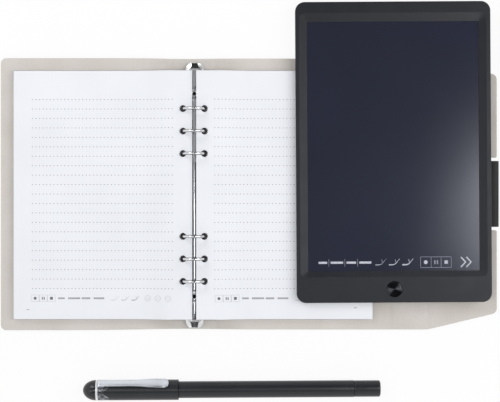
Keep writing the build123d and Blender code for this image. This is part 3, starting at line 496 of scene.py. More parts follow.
panels = {
    "front_cover": panel_corners(-164.5, creases["front"] - fold_half, True),
    "spine": panel_corners(creases["front"] + fold_half, creases["back"] - fold_half, False),
    "back_cover": panel_corners(creases["back"] + fold_half, creases["fore_edge"] - fold_half, False),
    "fore_edge": panel_corners(creases["fore_edge"] + fold_half, creases["flap"] - fold_half, False),
}
flap_taper = 14.0 / 58.7  # how much narrower on each side per millimetre
flap_end, notch_end = 257.7, 237.7
notch_low, notch_high = -30.1, 31.9
start = creases["flap"] + fold_half
panels["flap"] = [
    (start, top_edge(start) - flap_taper * fold_half, None),
    (start, bottom_edge(start) + flap_taper * fold_half, None),
    (flap_end, -100.4, 5.0),
    (flap_end, notch_low, 1.2),
    (notch_end, notch_low, 0.8),
    (notch_end, notch_high, 0.8),
    (flap_end, notch_high, 1.2),
    (flap_end, 102.2, 5.0),
]
for body, corners in panels.items():
    leather = shape_piece(f"{body}_leather", slab_from_outline(corners, leather_rim), cover_leather)
    seat(leather, body, f"{body}_skin", slot="cover_leather")
    inside = shape_piece(f"{body}_inside", slab_from_outline(corners, lining_rim), cover_lining)
    seat(inside, body, f"{body}_lining", slot="cover_lining")

# %% [markdown]
# ## Creases
# Between two boards only leather and lining cross, and a bar presses them into a shallow groove. The
# strip there is a piece of its own, fixed where it lies. Its section runs round the sheet in y and z,
# and is carried along x while its top sinks and its underside rises by a cosine.


# %% A strip over each crease
def crease_strip(x, rim, sink, rise, taper=0.0):
    """Section loop (y, z) carried along x from -w to w beside the crease.

    At distance d the top sinks by sink cos^2(pi d / 2w) and the underside rises by rise times the same, or
    sinks with the top where rise is negative. A taper draws the ends in beyond the crease, as on the flap.
    """
    rim = np.asarray(rim, float)
    across = np.linspace(-fold_half, fold_half, 15)[:, None]
    narrow = taper * np.clip(across, 0, None)
    upper = top_edge(x + across) - narrow - rim[None, :, 0]
    lower = bottom_edge(x + across) + narrow + rim[None, ::-1, 0]
    y = np.concatenate([upper, lower], 1)
    height = np.concatenate([rim[:, 1], rim[::-1, 1]])[None]
    depth = np.cos(np.pi * across / (2 * fold_half)) ** 2
    middle = (rim[:, 1].max() + rim[:, 1].min()) / 2
    z = height + np.where(height > middle, -sink * depth, rise * depth)
    return np.stack([np.broadcast_to(x + across, z.shape), y, z], -1), capped_faces(*z.shape)


for name, x in creases.items():
    taper = flap_taper if name == "flap" else 0.0
    for layer, slot, rim, finish, sink, rise in (
        ("leather", "cover_leather", leather_rim, cover_leather, 0.5, 0.35),
        ("inside", "cover_lining", lining_rim, cover_lining, 0.38, -0.38),
    ):
        strip = shape_piece(f"{name}_crease_{layer}", crease_strip(x, rim, sink, rise, taper), finish)
        near, far = (x - fold_half) * MM, (x + fold_half) * MM
        if name == "front":
            near, far = far, near
        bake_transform(strip)

# %% [markdown]
# ## Pen loop
# The loop is a strip of the dark leather bent into a flat tube in the flap's notch. Its cut end laps over
# the outside and is glued down, which leaves a narrow welt along the tube. The tube's section is a slot
# shape, and a lip profile carries it out along y, round the rim and back through the inside.


# %% A flat tube with soft lips
def flat_tube(centre, width, height, wall, length, welt_at, welt):
    """Slot shape round a lip profile of (inset, y) rows, which runs out, round the rim and back inside.

    At angle a, x = s clip(3 cos a, -1, 1) + r cos a and z = r sin a, with r the half height less the inset
    and s what is left of the half width. The welt is added as exp(-d^2) on the outside of the upper wall.
    """
    turn = full_turn(96)
    radius = height / 2
    stretch = width / 2 - radius
    half, overlap = length / 2, 2.0
    lip = [(wall, -overlap), (wall, -half), (0, -half), (0, half), (wall, half), (wall, overlap)]
    lip = round_profile(lip, 0.45)
    inset = lip[:, 0, None]
    x = centre[0] + stretch * np.clip(np.cos(turn) * 3, -1, 1)[None] + (radius - inset) * np.cos(turn)[None]
    swell = welt * np.exp(-(((x - welt_at) / 0.55) ** 2)) * (np.sin(turn)[None] > 0) * (inset < 0.3)
    z = centre[2] + (radius - inset) * np.sin(turn)[None] + swell
    y = centre[1] + np.broadcast_to(lip[:, 1, None], x.shape)
    return np.stack([x, y, z], -1), grid_faces(*x.shape, wrap_rows=True, wrap_columns=True)


# Strap leather is smooth and closed, so it is darker than the embossed cover and shines a little more.
loop_leather = wandering(
    "smooth_black_strap_leather",
    "#131315",
    0.5,
    colour=(5.0, "#0B0B0D", "#0F0F11"),
    bumps=(0.8, 2.0, 0.06),
    Specular_IOR_Level=0.38,
)
loop_size = {"width": 20.0, "height": 7.0, "wall": 1.0, "length": 56.0}
loop_tube = flat_tube((249.1, 0.9, 3.7), **loop_size, welt_at=255.2, welt=0.22)
seat(shape_piece("pen_loop_tube", loop_tube, loop_leather, 50), "flap", "pen_loop", slot="cover_leather")

# %% [markdown]
# ## Bright metal
# The ring mechanism is steel with a nickel coat: it mirrors the room, a little softened, and slightly
# wavy where it was pressed. The ring wires are drawn and polished, so they are smoother. Each wire's colour
# has painted shade: it darkens from the top of the wire to its flanks, by the distance from its middle.
# The plate's colour has painted shade in a dark streak along its fold, and a painted highlight, a lighter
# patch, round the lower rivet. The blades under the plate are bare rolled steel, satin along the way they
# were rolled. The pen's clip is spring steel with a fine silver satin.

# %% Nickel and satin silver
ring_nickel = wandering(
    "nickel_plated_steel", "#E9EAEC", 0.14, rough=(3.0, 0.10, 0.20), bumps=(7.0, 1.0, 0.05), Metallic=1.0
)

wire_nickel, shader, place = new_finish("nickel_wire_painted_flank_shade", "#CFD0D3", 0.07, Metallic=1.0)
roughen(wire_nickel, shader, grain(wire_nickel, place, 2.0), 0.05, 0.11)
# The rings stand at 35, 54 and 73 mm, so |y| - 6.5 divided by 19 leaves 9.5 in the middle of each wire.
wire_gap, first_gap = 19.0, 6.5
part = add_node(wire_nickel, "SeparateXYZ", {"Vector": place})
along = add_node(wire_nickel, "Math", {0: part.outputs["Y"]}, operation="ABSOLUTE")
offset = add_node(wire_nickel, "Math", {0: along.outputs[0], 1: -first_gap * MM}, operation="ADD")
lap = add_node(wire_nickel, "Math", {0: offset.outputs[0], 1: wire_gap * MM}, operation="MODULO")
centred = add_node(wire_nickel, "Math", {0: lap.outputs[0], 1: -wire_gap / 2 * MM}, operation="ADD")
aside = add_node(wire_nickel, "Math", {0: centred.outputs[0]}, operation="ABSOLUTE")
# Painted shade: the colour darkens from the top of each wire to its flanks, by the distance from the wire's
# middle.
painted_flank_shade = {"Value": aside.outputs[0], "From Min": 0.62 * MM, "From Max": 0.9 * MM}
tint(wire_nickel, shader, add_node(wire_nickel, "MapRange", painted_flank_shade).outputs["Result"], "#E4E5E7", "#57585C")

plate_nickel, shader, place = new_finish("nickel_plate_painted_streak_and_highlight", "#C9CACD", 0.12, Metallic=1.0)
roughen(plate_nickel, shader, grain(plate_nickel, place, 3.0), 0.08, 0.12)
relief(plate_nickel, shader, grain(plate_nickel, place, 9.0, 1.0), 0.006)
any_height = 1000  # mm; a mask or a lattice seen from above takes in every height
# Painted shade and highlight in the plate's colour: a dark streak along the fold, and a lighter patch round
# the lower rivet's lenses.
painted_fold_shade = box_mask(plate_nickel, place, (1.75, -50.0, 0), (0.85, 78.0, any_height))
painted_rivet_highlight = box_mask(plate_nickel, place, (0.4, -86.0, 0), (3.0, 5.8, any_height))
painted_fold_shade = add_node(plate_nickel, "Math", {0: painted_fold_shade, 1: painted_rivet_highlight}, operation="SUBTRACT", use_clamp=True).outputs[0]
coat = tint(plate_nickel, shader, grain(plate_nickel, place, 2.5), "#D2D3D6", "#DFE0E3")
for mask, written in ((painted_fold_shade, "#77787D"), (painted_rivet_highlight, "#F4F5F6")):
    layers = {0: mask, 6: coat, 7: light_amounts(written)}
    coat = add_node(plate_nickel, "Mix", layers, data_type="RGBA").outputs[2]
plate_nickel.node_tree.links.new(coat, shader.inputs["Base Color"])

blade_steel, shader, place = new_finish("rolled_spring_steel", "#8E9195", 0.35, Metallic=1.0)
roughen(blade_steel, shader, grain(blade_steel, place, 2.0, 3.0, (1, 0.1, 1)), 0.28, 0.42)

clip_satin, shader, place = new_finish("satin_silver_clip", "#E9EDF4", 0.34, Metallic=1.0)
brushed = grain(clip_satin, place, 0.5, 2.0, (0.03, 1, 1))
roughen(clip_satin, shader, brushed, 0.30, 0.42)
relief(clip_satin, shader, brushed, 0.01)
print("metals:", ring_nickel.name, blade_steel.name, clip_satin.name)

# %% [markdown]
# ## Pierced sheets
# Paper and the ring mechanism's cover plate are sheets with holes. A grid gets a hole in this way: the
# cells inside it are left out, and the points round the gap move out onto a circle. The sheet's thickness
# comes from a second layer of the same points, and every edge that only one face uses gets a wall.


# %% Grid lines, holes and walls
def lines_with_holes(start, end, step, middles, half, cells):
    """Grid lines from start to end about a step apart, with evenly spaced ones across every hole."""
    bands = [m + half * np.linspace(-1, 1, cells + 1) for m in middles]
    edges = np.sort(np.concatenate([[start, end]] + [[b[0], b[-1]] for b in bands]))
    lines = list(bands)
    for low, high in zip(edges[:-1:2], edges[1::2]):
        lines.append(np.linspace(low, high, max(2, int(np.ceil((high - low) / step)) + 1)))
    return np.unique(np.round(np.concatenate(lines), 6))


def pierce(x, y, holes, cells_half):
    """Quads of the grid x by y that lie outside all holes; the gap's rim points are moved onto circles."""
    gx, gy = np.meshgrid(x, y, indexing="ij")
    px, py = gx.copy(), gy.copy()
    mx, my = (gx[:-1, :-1] + gx[1:, 1:]) / 2, (gy[:-1, :-1] + gy[1:, 1:]) / 2
    keep = np.ones(mx.shape, bool)
    for hx, hy, radius in holes:
        keep &= ~((abs(mx - hx) < cells_half) & (abs(my - hy) < cells_half))
        dx, dy = gx - hx, gy - hy
        reach = np.maximum(abs(dx), abs(dy))
        rim = abs(reach - cells_half) < 1e-4
        scale = radius / np.where(rim, np.hypot(dx, dy), 1)
        px, py = np.where(rim, hx + dx * scale, px), np.where(rim, hy + dy * scale, py)
    quads = np.array(grid_faces(*gx.shape)).reshape(*mx.shape, 4)[keep]
    return px.ravel(), py.ravel(), quads


def single_edges(quads):
    """Directed edges that only one quad uses: the rim of the sheet and of every hole."""
    edges = np.concatenate([quads[:, [k, (k + 1) % 4]] for k in range(4)])
    key = np.sort(edges, 1)
    _, back, count = np.unique(key, axis=0, return_inverse=True, return_counts=True)
    return edges[count[back.ravel()] == 1]


def wall_faces(rim, upper, lower):
    """Quads down from the rim in the layer of points that starts at upper to the same rim in another."""
    a, b = rim[:, 0], rim[:, 1]
    return np.stack([b + upper, a + upper, a + lower, b + lower], -1)


def used_only(points, faces):
    """Leave out the points that no face uses."""
    faces = np.asarray(faces)
    used, back = np.unique(faces, return_inverse=True)
    return points[used], back.reshape(faces.shape).tolist()


print("a test grid keeps", len(pierce(np.arange(5.0), np.arange(5.0), [(2, 2, 1.1)], 1)[2]), "of 16 cells")

# %% [markdown]
# ## Paper
# The pages are smooth white offset paper with a cool tint. A dotted line runs every 8 mm, over a very faint
# dot grid, as the pen's camera needs it. A real dot is 0.4 mm wide, and the dots stand 2 mm apart. So close
# they melt into a plain line in the render, so they are drawn 3 mm apart and 0.7 mm wide. On a stack's sides
# the single sheets show as fine lines, 0.1 mm each, drawn as steps of a third of a millimetre. An attribute
# says which faces are cut edges, so that the broad faces stay plain where a stack is lifted.


# %% Paper with its dots
def dot_mask(finish, place, origin, pitch, radius):
    """1 on dots of a lattice: the distance from the nearest lattice point is less than the radius, in mm."""
    offset = add_node(finish, "VectorMath", {0: place, 1: np.array(origin) * MM}, operation="SUBTRACT")
    per_cell = 1 / (np.array(pitch) * MM)
    cell = add_node(finish, "VectorMath", {0: offset.outputs[0], 1: per_cell}, operation="MULTIPLY")
    part = add_node(finish, "VectorMath", {0: cell.outputs[0]}, operation="FRACTION")
    centred = add_node(finish, "VectorMath", {0: part.outputs[0], 1: (0.5, 0.5, 0.5)}, operation="SUBTRACT")
    level_cell = (pitch[0] * MM, pitch[1] * MM, 0)
    metres = add_node(finish, "VectorMath", {0: centred.outputs[0], 1: level_cell}, operation="MULTIPLY")
    away = add_node(finish, "VectorMath", {0: metres.outputs[0]}, operation="LENGTH")
    soft_rim = {"From Min": radius * MM * 1.15, "From Max": radius * MM * 0.85}
    return add_node(finish, "MapRange", {"Value": away.outputs["Value"], **soft_rim}).outputs["Result"]


def ruled_paper(name, left, right, top=80.9, bottom=-79.3):
    """Paper whose dotted lines run from left to right in x, between the heights top and bottom."""
    finish, shader, place = new_finish(name, "#EEF0F5", 0.62, Specular_IOR_Level=0.3)
    plain = tint(finish, shader, grain(finish, place, 30.0), "#ECEEF3", "#F0F2F7")
    middle = ((left + right) / 2, (top + bottom) / 2, 0)
    half = ((right - left) / 2 + 0.9, (top - bottom) / 2 + 1.5, any_height)
    inside = box_mask(finish, place, middle, half)
    dot_gap, line_gap, lattice_gap = 3.05, 8.01, 2.0
    strong_start = (left - dot_gap / 2, top - 4.0, 0)
    strong = dot_mask(finish, place, strong_start, (dot_gap, line_gap, any_height), 0.37)
    faint_start = (left - 1.005, top - lattice_gap / 2, 0)
    faint = dot_mask(finish, place, faint_start, (2.01, lattice_gap, any_height), 0.34)
    weak = add_node(finish, "Math", {0: faint, 1: 0.14}, operation="MULTIPLY")
    ink = add_node(finish, "Math", {0: strong, 1: weak.outputs[0]}, operation="MAXIMUM")
    ink = add_node(finish, "Math", {0: ink.outputs[0], 1: inside}, operation="MULTIPLY")
    printed = {0: ink.outputs[0], 6: plain, 7: light_amounts("#888A93")}
    page = add_node(finish, "Mix", printed, data_type="RGBA")
    flattened = add_node(finish, "Mapping", {"Vector": place, "Scale": (0.04, 0.04, 1)}).outputs[0]
    layers = {"Vector": flattened, "Scale": 1 / (0.35 * MM), "Detail": 1.0}
    strata = add_node(finish, "TexNoise", layers).outputs["Fac"]
    edges = tint(finish, shader, strata, "#CFD1D7", "#F1F2F6")
    cut = add_node(finish, "Attribute", attribute_name="cut_edge").outputs["Fac"]
    both = add_node(finish, "Mix", {0: cut, 6: page.outputs[2], 7: edges}, data_type="RGBA")
    finish.node_tree.links.new(both.outputs[2], shader.inputs["Base Color"])
    relief(finish, shader, grain(finish, place, 0.6, 2.0), 0.01)
    return finish


def mark_cut_edges(piece):
    """Attribute that is 1 on faces whose normal is nearer to level than to upright, where cut edges show."""
    normals = np.empty(len(piece.data.polygons) * 3)
    piece.data.polygons.foreach_get("normal", normals)
    standing = np.abs(normals.reshape(-1, 3)[:, 2]) < 0.5
    cut_edge = piece.data.attributes.new("cut_edge", "FLOAT", "FACE")
    cut_edge.data.foreach_set("value", standing.astype(np.float32))
    print(piece.name, "has", int(standing.sum()), "faces of cut edge")


left_paper = ruled_paper("ruled_paper_left", -137.0, -18.0)
right_paper = ruled_paper("ruled_paper_right", 17.9, 136.9)
print("paper finishes:", left_paper.name, right_paper.name)

# %% [markdown]
# The sheets lie flat on the cover outside and climb onto the rings inside, with a smooth slope between.
# On the left the written sheet lies a little further out than those under it, as turned pages do.
# A stack's side isn't one plane: its sheets stand out by a tenth of a millimetre more or less. So the wall
# of a stack has two rows of points for each layer, and each layer has its own small offset.

# %% Stacks and single sheets
ring_stations = np.array([-73.0, -54.0, -35.0, 35.0, 54.0, 73.0])
ring_axis = 13.5
hole_path = 9.2  # the holes of all sheets lie on a circle of this radius round the rings' axis
stack_low, stack_thick, sheet_low, sheet_thick = 9.0, 4.0, 13.15, 0.2


def sheet_drop(x):
    """How far the paper has come down beside the rings: 5.7 mm by a smooth step from 18 to 45 mm."""
    return 5.7 * smooth_step((np.abs(x) - 18.0) / 27.0)


def paper_stack(side, inner, outer, low, thickness, hole, layers):
    """Two pierced layers, the upper a thickness above the lower, and a wall that is stepped layer by layer.

    The wall has two rows for each layer, both moved in by the layer's own random offset of up to 0.14 mm.
    Round a hole the lower layer slides sideways by exp(-d^2), so that the hole leans along the ring.
    """
    half = 105.5 if layers > 1 else 105.3
    wide = 0.86 * hole
    hole_x = np.sqrt(hole_path**2 - (ring_axis - (low + thickness)) ** 2)
    x = lines_with_holes(inner, outer, 6.0, [hole_x], wide, 8)
    x = np.unique(np.concatenate([x, np.linspace(18, 46, 20)]))
    y = lines_with_holes(-half, half, 12.0, ring_stations, wide, 8)
    px, py, quads = pierce(x, y, [(hole_x, s, hole) for s in ring_stations], wide)
    top = np.stack([px, py, low + thickness - sheet_drop(px)], -1)
    slide = hole_x - np.sqrt(max(hole_path**2 - (ring_axis - low) ** 2, 0))
    near = np.exp(-(((px - hole_x) / 4.5) ** 2)) * (px > inner + 0.1)
    bottom = np.stack([px - slide * near, py, low - sheet_drop(px)], -1)

    row = np.arange(2 * layers - 1)
    depth = (row // 2 + row % 2) / layers if layers > 1 else np.array([0.5])
    offset = -chance.uniform(0.0, 0.14, (layers, 2))[row // 2]
    at_x = np.where(px > outer - 0.1, 1.0, 0.0) - np.where(px < inner + 0.1, 1.0, 0.0)
    at_y = np.where(py > half - 0.1, 1.0, 0.0) - np.where(py < 0.1 - half, 1.0, 0.0)
    steps = top * (1 - depth[:, None, None]) + bottom * depth[:, None, None]
    steps[..., 0] += at_x * offset[:, :1]
    steps[..., 1] += at_y * offset[:, 1:]

    count, rim = len(px), single_edges(quads)
    walls = [wall_faces(rim, k * count, (k + 1) * count) for k in range(2 * layers)]
    faces = np.concatenate([quads, *walls, quads[:, ::-1] + 2 * layers * count])
    points, faces = used_only(np.concatenate([top, *steps, bottom]), faces)
    points[:, 0] *= side
    return points, faces


for side, word, finish, inner, outer, sheet_inner, node, body in (
    (-1, "left", left_paper, 1.3, 153.1, 2.8, "left_leaf", "leaf"),
    (1, "right", right_paper, 2.6, 151.7, 2.2, "right_top_sheet", "right_pages"),
):
    layered = paper_stack(side, inner, outer, stack_low, stack_thick, 2.9, 12)
    stack = shape_piece(f"{word}_stack", layered, finish)
    mark_cut_edges(stack)
    seat(stack, f"{word}_pages", f"{word}_page_block", slot="paper")
    single = paper_stack(side, sheet_inner, outer - 0.2, sheet_low, sheet_thick, 3.0, 1)
    seat(shape_piece(f"{word}_written_sheet", single, finish), body, node, slot="paper")

# %% [markdown]
# ## Printed marks
# At the foot of each page a row of marks tells the pen what to do: a dot, two bars and a square in thin
# boxes for recording, places for colours, and strokes for the line width. The tablet has the same row in
# white. All are printed flat, so each mark is a ribbon along a short path, or a disc, in x and y alone. A
# row of marks is laid on its surface at the end, a hair above it, and gets the thickness of its ink.


# %% Ribbons and discs
def ribbon(path, width):
    """Strip along a path in x and y: each point moves half a width to both sides of the path's direction."""
    path = np.asarray(path, float)
    ahead = np.gradient(path, axis=0)
    ahead /= np.linalg.norm(ahead, axis=1, keepdims=True)
    side = np.stack([-ahead[:, 1], ahead[:, 0]], -1) * np.asarray(width).reshape(-1, 1) / 2
    return np.stack([path - side, path + side], 1).reshape(-1, 2), grid_faces(len(path), 2)


def bar(x0, x1, y, width):
    """Level ribbon from x0 to x1 in steps of a millimetre, so that it follows a bent sheet."""
    steps = max(2, int(abs(x1 - x0)) + 1)
    return ribbon(np.stack([np.linspace(x0, x1, steps), np.full(steps, float(y))], -1), width)


def post(x, y0, y1, width):
    """Upright ribbon."""
    return ribbon([(x, y0), (x, y1)], width)


def disc(x, y, radius, sides=20):
    """Round mark: two rings of points, the inner one almost in the middle."""
    turn = full_turn(sides)
    rings = [np.stack([x + r * np.cos(turn), y + r * np.sin(turn)], -1) for r in (radius, 0.01)]
    return np.concatenate(rings), grid_faces(2, sides, wrap_columns=True)


def box_frame(x, y, width, height, line):
    """Four thin ribbons round a box."""
    w, h = width / 2, height / 2
    level = [bar(x - w, x + w, y + h, line), bar(x - w, x + w, y - h, line)]
    return level + [post(x - w, y - h, y + h, line), post(x + w, y - h, y + h, line)]


def ring_mark(x, y, radius, line):
    """Round outline with a short level bar in it, as a knob's sign has."""
    turn = np.linspace(0, 2 * np.pi, 25)
    path = np.stack([x + radius * np.cos(turn), y + radius * np.sin(turn)], -1)
    return [ribbon(path, line), bar(x - 0.4 * radius, x + 0.4 * radius, y, line)]


def stroke_mark(x, y, size, weight):
    """A nib's line: a level stroke that turns up into a slanting one, with a short slanting tick on it."""
    path = round_profile([(x, y), (x + 0.55 * size, y), (x + size, y + 0.55 * size)], 0.25 * size, 6)
    thinner = np.linspace(weight, 0.35 * weight, len(path))
    tick = [(x + 0.66 * size, y + 0.18 * size), (x + 0.58 * size, y + 0.5 * size)]
    return [ribbon(path, thinner), ribbon(tick, 0.35 * weight)]


def print_marks(name, marks, finish, surface, turned_by=None):
    """All marks of one row as one thin piece on a surface, turned to the frame's x and y first if asked."""
    flat, faces = joined(marks)
    if turned_by is not None:
        flat = turned_by(flat)
    piece = shape_piece(name, (np.column_stack([flat, surface(flat[:, 0])]), faces), finish)
    ink = piece.modifiers.new("ink", "SOLIDIFY")
    ink.thickness = 0.015 * MM
    ink.offset = 0.0
    return piece


hair = 0.03  # how far printed marks stand above their surface, in mm
print("a bar of 10 mm has", len(bar(0, 10, 0, 1)[0]), "points")

# %% [markdown]
# On paper the ink is a mid grey, and the boxes, the bars for the colour places, the strokes and the three
# ring signs are fainter. Both rows sit at the same height, near the foot of the page, and each page has a
# small number by its corner, for which a plain short dash stands.

# %% Rows of marks on the pages
page_ink = wandering("grey_page_ink", "#6E6F78", 0.7, colour=(1.0, "#666770", "#787982"))
pale_ink = wandering("pale_page_ink", "#A9ABB2", 0.7, colour=(1.0, "#A2A4AC", "#B2B4BA"))


def page_surface(x):
    """Top of the written sheet plus a hair."""
    return sheet_low + sheet_thick + hair - sheet_drop(x)


row = -87.6
# The middles of the boxes, the strokes' starts and the rings' middles, all from the start of the row.
first_box, box_gap = 3.4, 6.9
first_stroke, stroke_gap = 68.0, 8.6
first_ring, ring_gap = 98.9, 8.7
colour_bars = (22.9, 28.5), (31.3, 41.6), (43.0, 50.1), (53.0, 62.0)
pause_half, square_half, dash_half = 0.8, 1.2, 1.2
for word, body, start, number_x, number_y in (
    ("left", "leaf", -138.0, -140.7, -97.2),
    ("right", "right_pages", 18.0, 137.0, -95.7),
):
    boxes = [start + first_box + box_gap * k for k in range(3)]
    dark = [disc(boxes[0], row, 1.25)]
    dark += [post(boxes[1] + s, row - 1.2, row + 1.2, 0.8) for s in (-pause_half, pause_half)]
    dark.append(bar(boxes[2] - square_half, boxes[2] + square_half, row, 2 * square_half))
    pale = [line for x in boxes for line in box_frame(x, row, 6.5, 5.6, 0.16)]
    pale += [bar(start + x0, start + x1, row, 1.5) for x0, x1 in colour_bars]
    for k, weight in enumerate((0.35, 0.6, 0.9)):
        pale += stroke_mark(start + first_stroke + stroke_gap * k, row - 1.6, 6.5, weight)
        pale += ring_mark(start + first_ring + ring_gap * k, row, 2.3, 0.22)
    pale.append(bar(number_x - dash_half, number_x + dash_half, number_y, 0.6))
    seat(print_marks(f"{word}_page_marks", dark, page_ink, page_surface), body)
    seat(print_marks(f"{word}_pale_marks", pale, pale_ink, page_surface), body)

# %% [markdown]
# ## Cover plate of the ring mechanism
# The plate is pressed from thin sheet into a long arch, with a slot for every ring leg and a hole for each
# rivet. Above and below each rivet the press leaves a small raised lens, which catches the light. The arch
# is a circle through the plate's edges and crown. The lenses are added to its height, and so is a slight
# lengthwise fold, which parts the narrow strip between the pages into a grey, a white and a black band; the
# black band is deepened by painted shade in the plate's colour. Each long edge is a wall down to the cover,
# folded back up inside.


# %% Arch and fold of the plate
plate_half, plate_crown, plate_edge, plate_end = 7.6, 7.5, 5.2, 105.0
plate_wall, skin_half = 0.7, 6.9
arch_rise = plate_crown - plate_edge
arch_radius = (plate_half**2 + arch_rise**2) / (2 * arch_rise)


def arch(x):
    """Circle through both edges and the crown: z = crown - R + sqrt(R^2 - x^2)."""
    return plate_crown - arch_radius + np.sqrt(arch_radius**2 - x**2)


def pressed_fold(x, y):
    """Height of a lengthwise fold: its slope is 0.15 + x / R from x = -0.7 to 0.8, then -0.06 to 2.6.

    R is the arch's radius, so the rise undoes the arch. Beyond 2.6 the fold dies away over 3 mm, and along y
    it grows from nothing above the upper rings to its full height at the foot of the page.
    """
    start, ridge, stop = -0.7, 0.8, 2.6
    low = np.clip(x, start, ridge)
    rise = 0.15 * (low - start) + (low**2 - start**2) / (2 * arch_radius)
    fall = -0.06 * np.clip(x - ridge, 0, stop - ridge)
    strength = 0.55 * smooth_step((62 - y) / 40) + 0.45 * smooth_step((20 - y) / 50)
    return strength * (rise + fall) * (1 - smooth_step((x - stop) / 3.0))


print("radius of the arch in mm:", round(arch_radius, 2))

# %% Grid of the plate, with its slots and rivet holes
slot_near, slot_far, slot_half = 2.1, 6.4, 1.6
rivet_x, rivet_y = 0.4, np.array([-86.0, 86.0])
hole_radius, hole_half = 1.9, 1.7
hole_lines = hole_half * np.linspace(-1, 1, 9)
x_lines = [
    np.linspace(-plate_half, plate_half, 25),
    [-slot_far, -slot_near, slot_near, slot_far],
    np.linspace(-2.2, 3.0, 27),
    rivet_x + hole_lines,
]
y_lines = [np.linspace(-plate_end, plate_end, 85), ring_stations - slot_half, ring_stations + slot_half]
for s in rivet_y:
    y_lines += [s + hole_lines, s + np.linspace(-6, 6, 65)]
x_lines, y_lines = (np.unique(np.round(np.concatenate(lines), 5)) for lines in (x_lines, y_lines))

px, py, quads = pierce(x_lines, y_lines, [(rivet_x, s, hole_radius) for s in rivet_y], hole_half)
middle_x, middle_y = abs(px[quads].mean(1)), py[quads].mean(1)
slotted = (middle_x > slot_near) & (middle_x < slot_far)
slotted &= abs(middle_y[:, None] - ring_stations).min(1) < slot_half
quads = quads[~slotted]
print("cells of the plate:", len(quads))

# %% Heights of the plate, with its lenses
lens_off, lens_half, lens_height = 4.2, 1.2, 0.55
lens = 0.0
for s in rivet_y:
    for way in (-1, 1):
        from_lens = py - s - way * lens_off - 0.45 * (px - rivet_x)
        across = np.exp(-(((px - rivet_x) / 2.4) ** 4))
        lens = lens + lens_height * np.clip(1 - np.abs(from_lens) / lens_half, 0, 1) * across
ends = 0.12 * smooth_step((abs(py) - 103.2) / 1.8)
height = arch(px) + pressed_fold(px, py) - ends
top = np.stack([px, py, height + lens], -1)
skin = np.stack([px * skin_half / plate_half, py, height - plate_wall], -1)
foot, inner_foot = (np.column_stack([layer[:, :2], np.full(len(px), cover_top)]) for layer in (top, skin))
print("crown of the plate in mm:", round(float(height.max()), 2))

# %% Faces of the plate
# The layers follow each other in the list of points, and each wall joins two of them along the rim.
count = len(px)
top_at, skin_at, foot_at, inner_at = np.arange(4) * count
rim = single_edges(quads)
on_flank = (abs(px[rim]) > plate_half - 0.01).all(1)
flank = rim[on_flank]
plate_faces = [
    quads,
    quads[:, ::-1] + skin_at,
    wall_faces(rim[~on_flank], top_at, skin_at),
    wall_faces(flank, top_at, foot_at),
    wall_faces(flank, foot_at, inner_at),
    wall_faces(flank, inner_at, skin_at),
]
plate_shape = used_only(np.concatenate([top, skin, foot, inner_foot]), np.concatenate(plate_faces))
plate = shape_piece("arched_cover_plate", plate_shape, plate_nickel, 40)
seat(plate, "spine", "ring_cover_plate", slot="ring_chrome")

# %% [markdown]
# ## Rings, rivets and levers
# A ring half is bent wire with a chamfered tip, so a fine groove shows where two halves meet at the top.
# Its section is a circle carried along an arc and down a straight leg. The path turns from the arc into
# the leg, and the circle always stands square to it.


# %% Wire along a path in the ring's plane
def wire(path, radii, sides=20):
    """Circle of radius r round each path point (x, z), in the plane of the path's normal and y."""
    ahead = np.gradient(path, axis=0)
    ahead /= np.linalg.norm(ahead, axis=1, keepdims=True)
    normal = np.stack([-ahead[:, 1], ahead[:, 0]], -1)
    turn, radii = full_turn(sides), np.asarray(radii)[:, None]
    x = path[:, 0, None] + normal[:, 0, None] * radii * np.cos(turn)
    z = path[:, 1, None] + normal[:, 1, None] * radii * np.cos(turn)
    return np.stack([x, radii * np.sin(turn), z], -1).reshape(-1, 3), capped_faces(len(path), sides)


def half_ring(side):
    """Arc from the tip at the top round to the leg, then straight down to the blade, all in one wire."""
    ring_radius, wire_radius, leg_x, blade_top = 8.35, 1.2, 3.8, 4.95
    tip_radii = [0.85, 0.98, 1.1, 1.17, 1.2]
    angle = np.radians(np.concatenate([[0.35, 1.0, 2.2], np.linspace(4, 180 - 27.1, 40)]))
    arc = np.stack([ring_radius * np.sin(angle), ring_axis + ring_radius * np.cos(angle)], -1)
    leg_z = np.linspace(arc[-1, 1] - 0.5, blade_top, 6)
    path = np.concatenate([arc[:-2], np.stack([np.full(6, leg_x), leg_z], -1)])
    path = round_profile(path, 0.6, 2)
    radii = np.full(len(path), wire_radius)
    radii[: len(tip_radii)] = tip_radii
    points, faces = wire(path, radii)
    return points * (side, 1, 1), faces


for side, word in ((-1, "left"), (1, "right")):
    points, faces = half_ring(side)
    wires = joined([(points + (0, s, 0), faces) for s in ring_stations])
    piece = shape_piece(f"{word}_ring_wires", wires, wire_nickel, 50)
    seat(piece, f"{word}_rings", f"{word}_half_rings", slot="ring_chrome")

# %% [markdown]
# A rivet is a short tube whose rim is rolled over the plate. The broken stub of the pin that set it stays in
# the bore; its near-black colour is painted shade, so the bore shows as a dark round hole. Both are turned
# from a profile of radius and height.


# %% Turned rivets
def turned(profile, middle, closed=False, sides=32):
    """Profile of (radius, height) turned about an upright axis through the middle.

    A closed profile joins its last point to its first. An open one starts and ends near the axis, and gets a
    flat face there.
    """
    profile = np.asarray(profile, float)
    turn, r = full_turn(sides), profile[:, 0, None]
    x, y = middle[0] + r * np.cos(turn), middle[1] + r * np.sin(turn)
    points = np.stack([x, y, np.broadcast_to(profile[:, 1, None], x.shape)], -1).reshape(-1, 3)
    if closed:
        return points, grid_faces(len(profile), sides, wrap_rows=True, wrap_columns=True)
    return points, capped_faces(len(profile), sides)


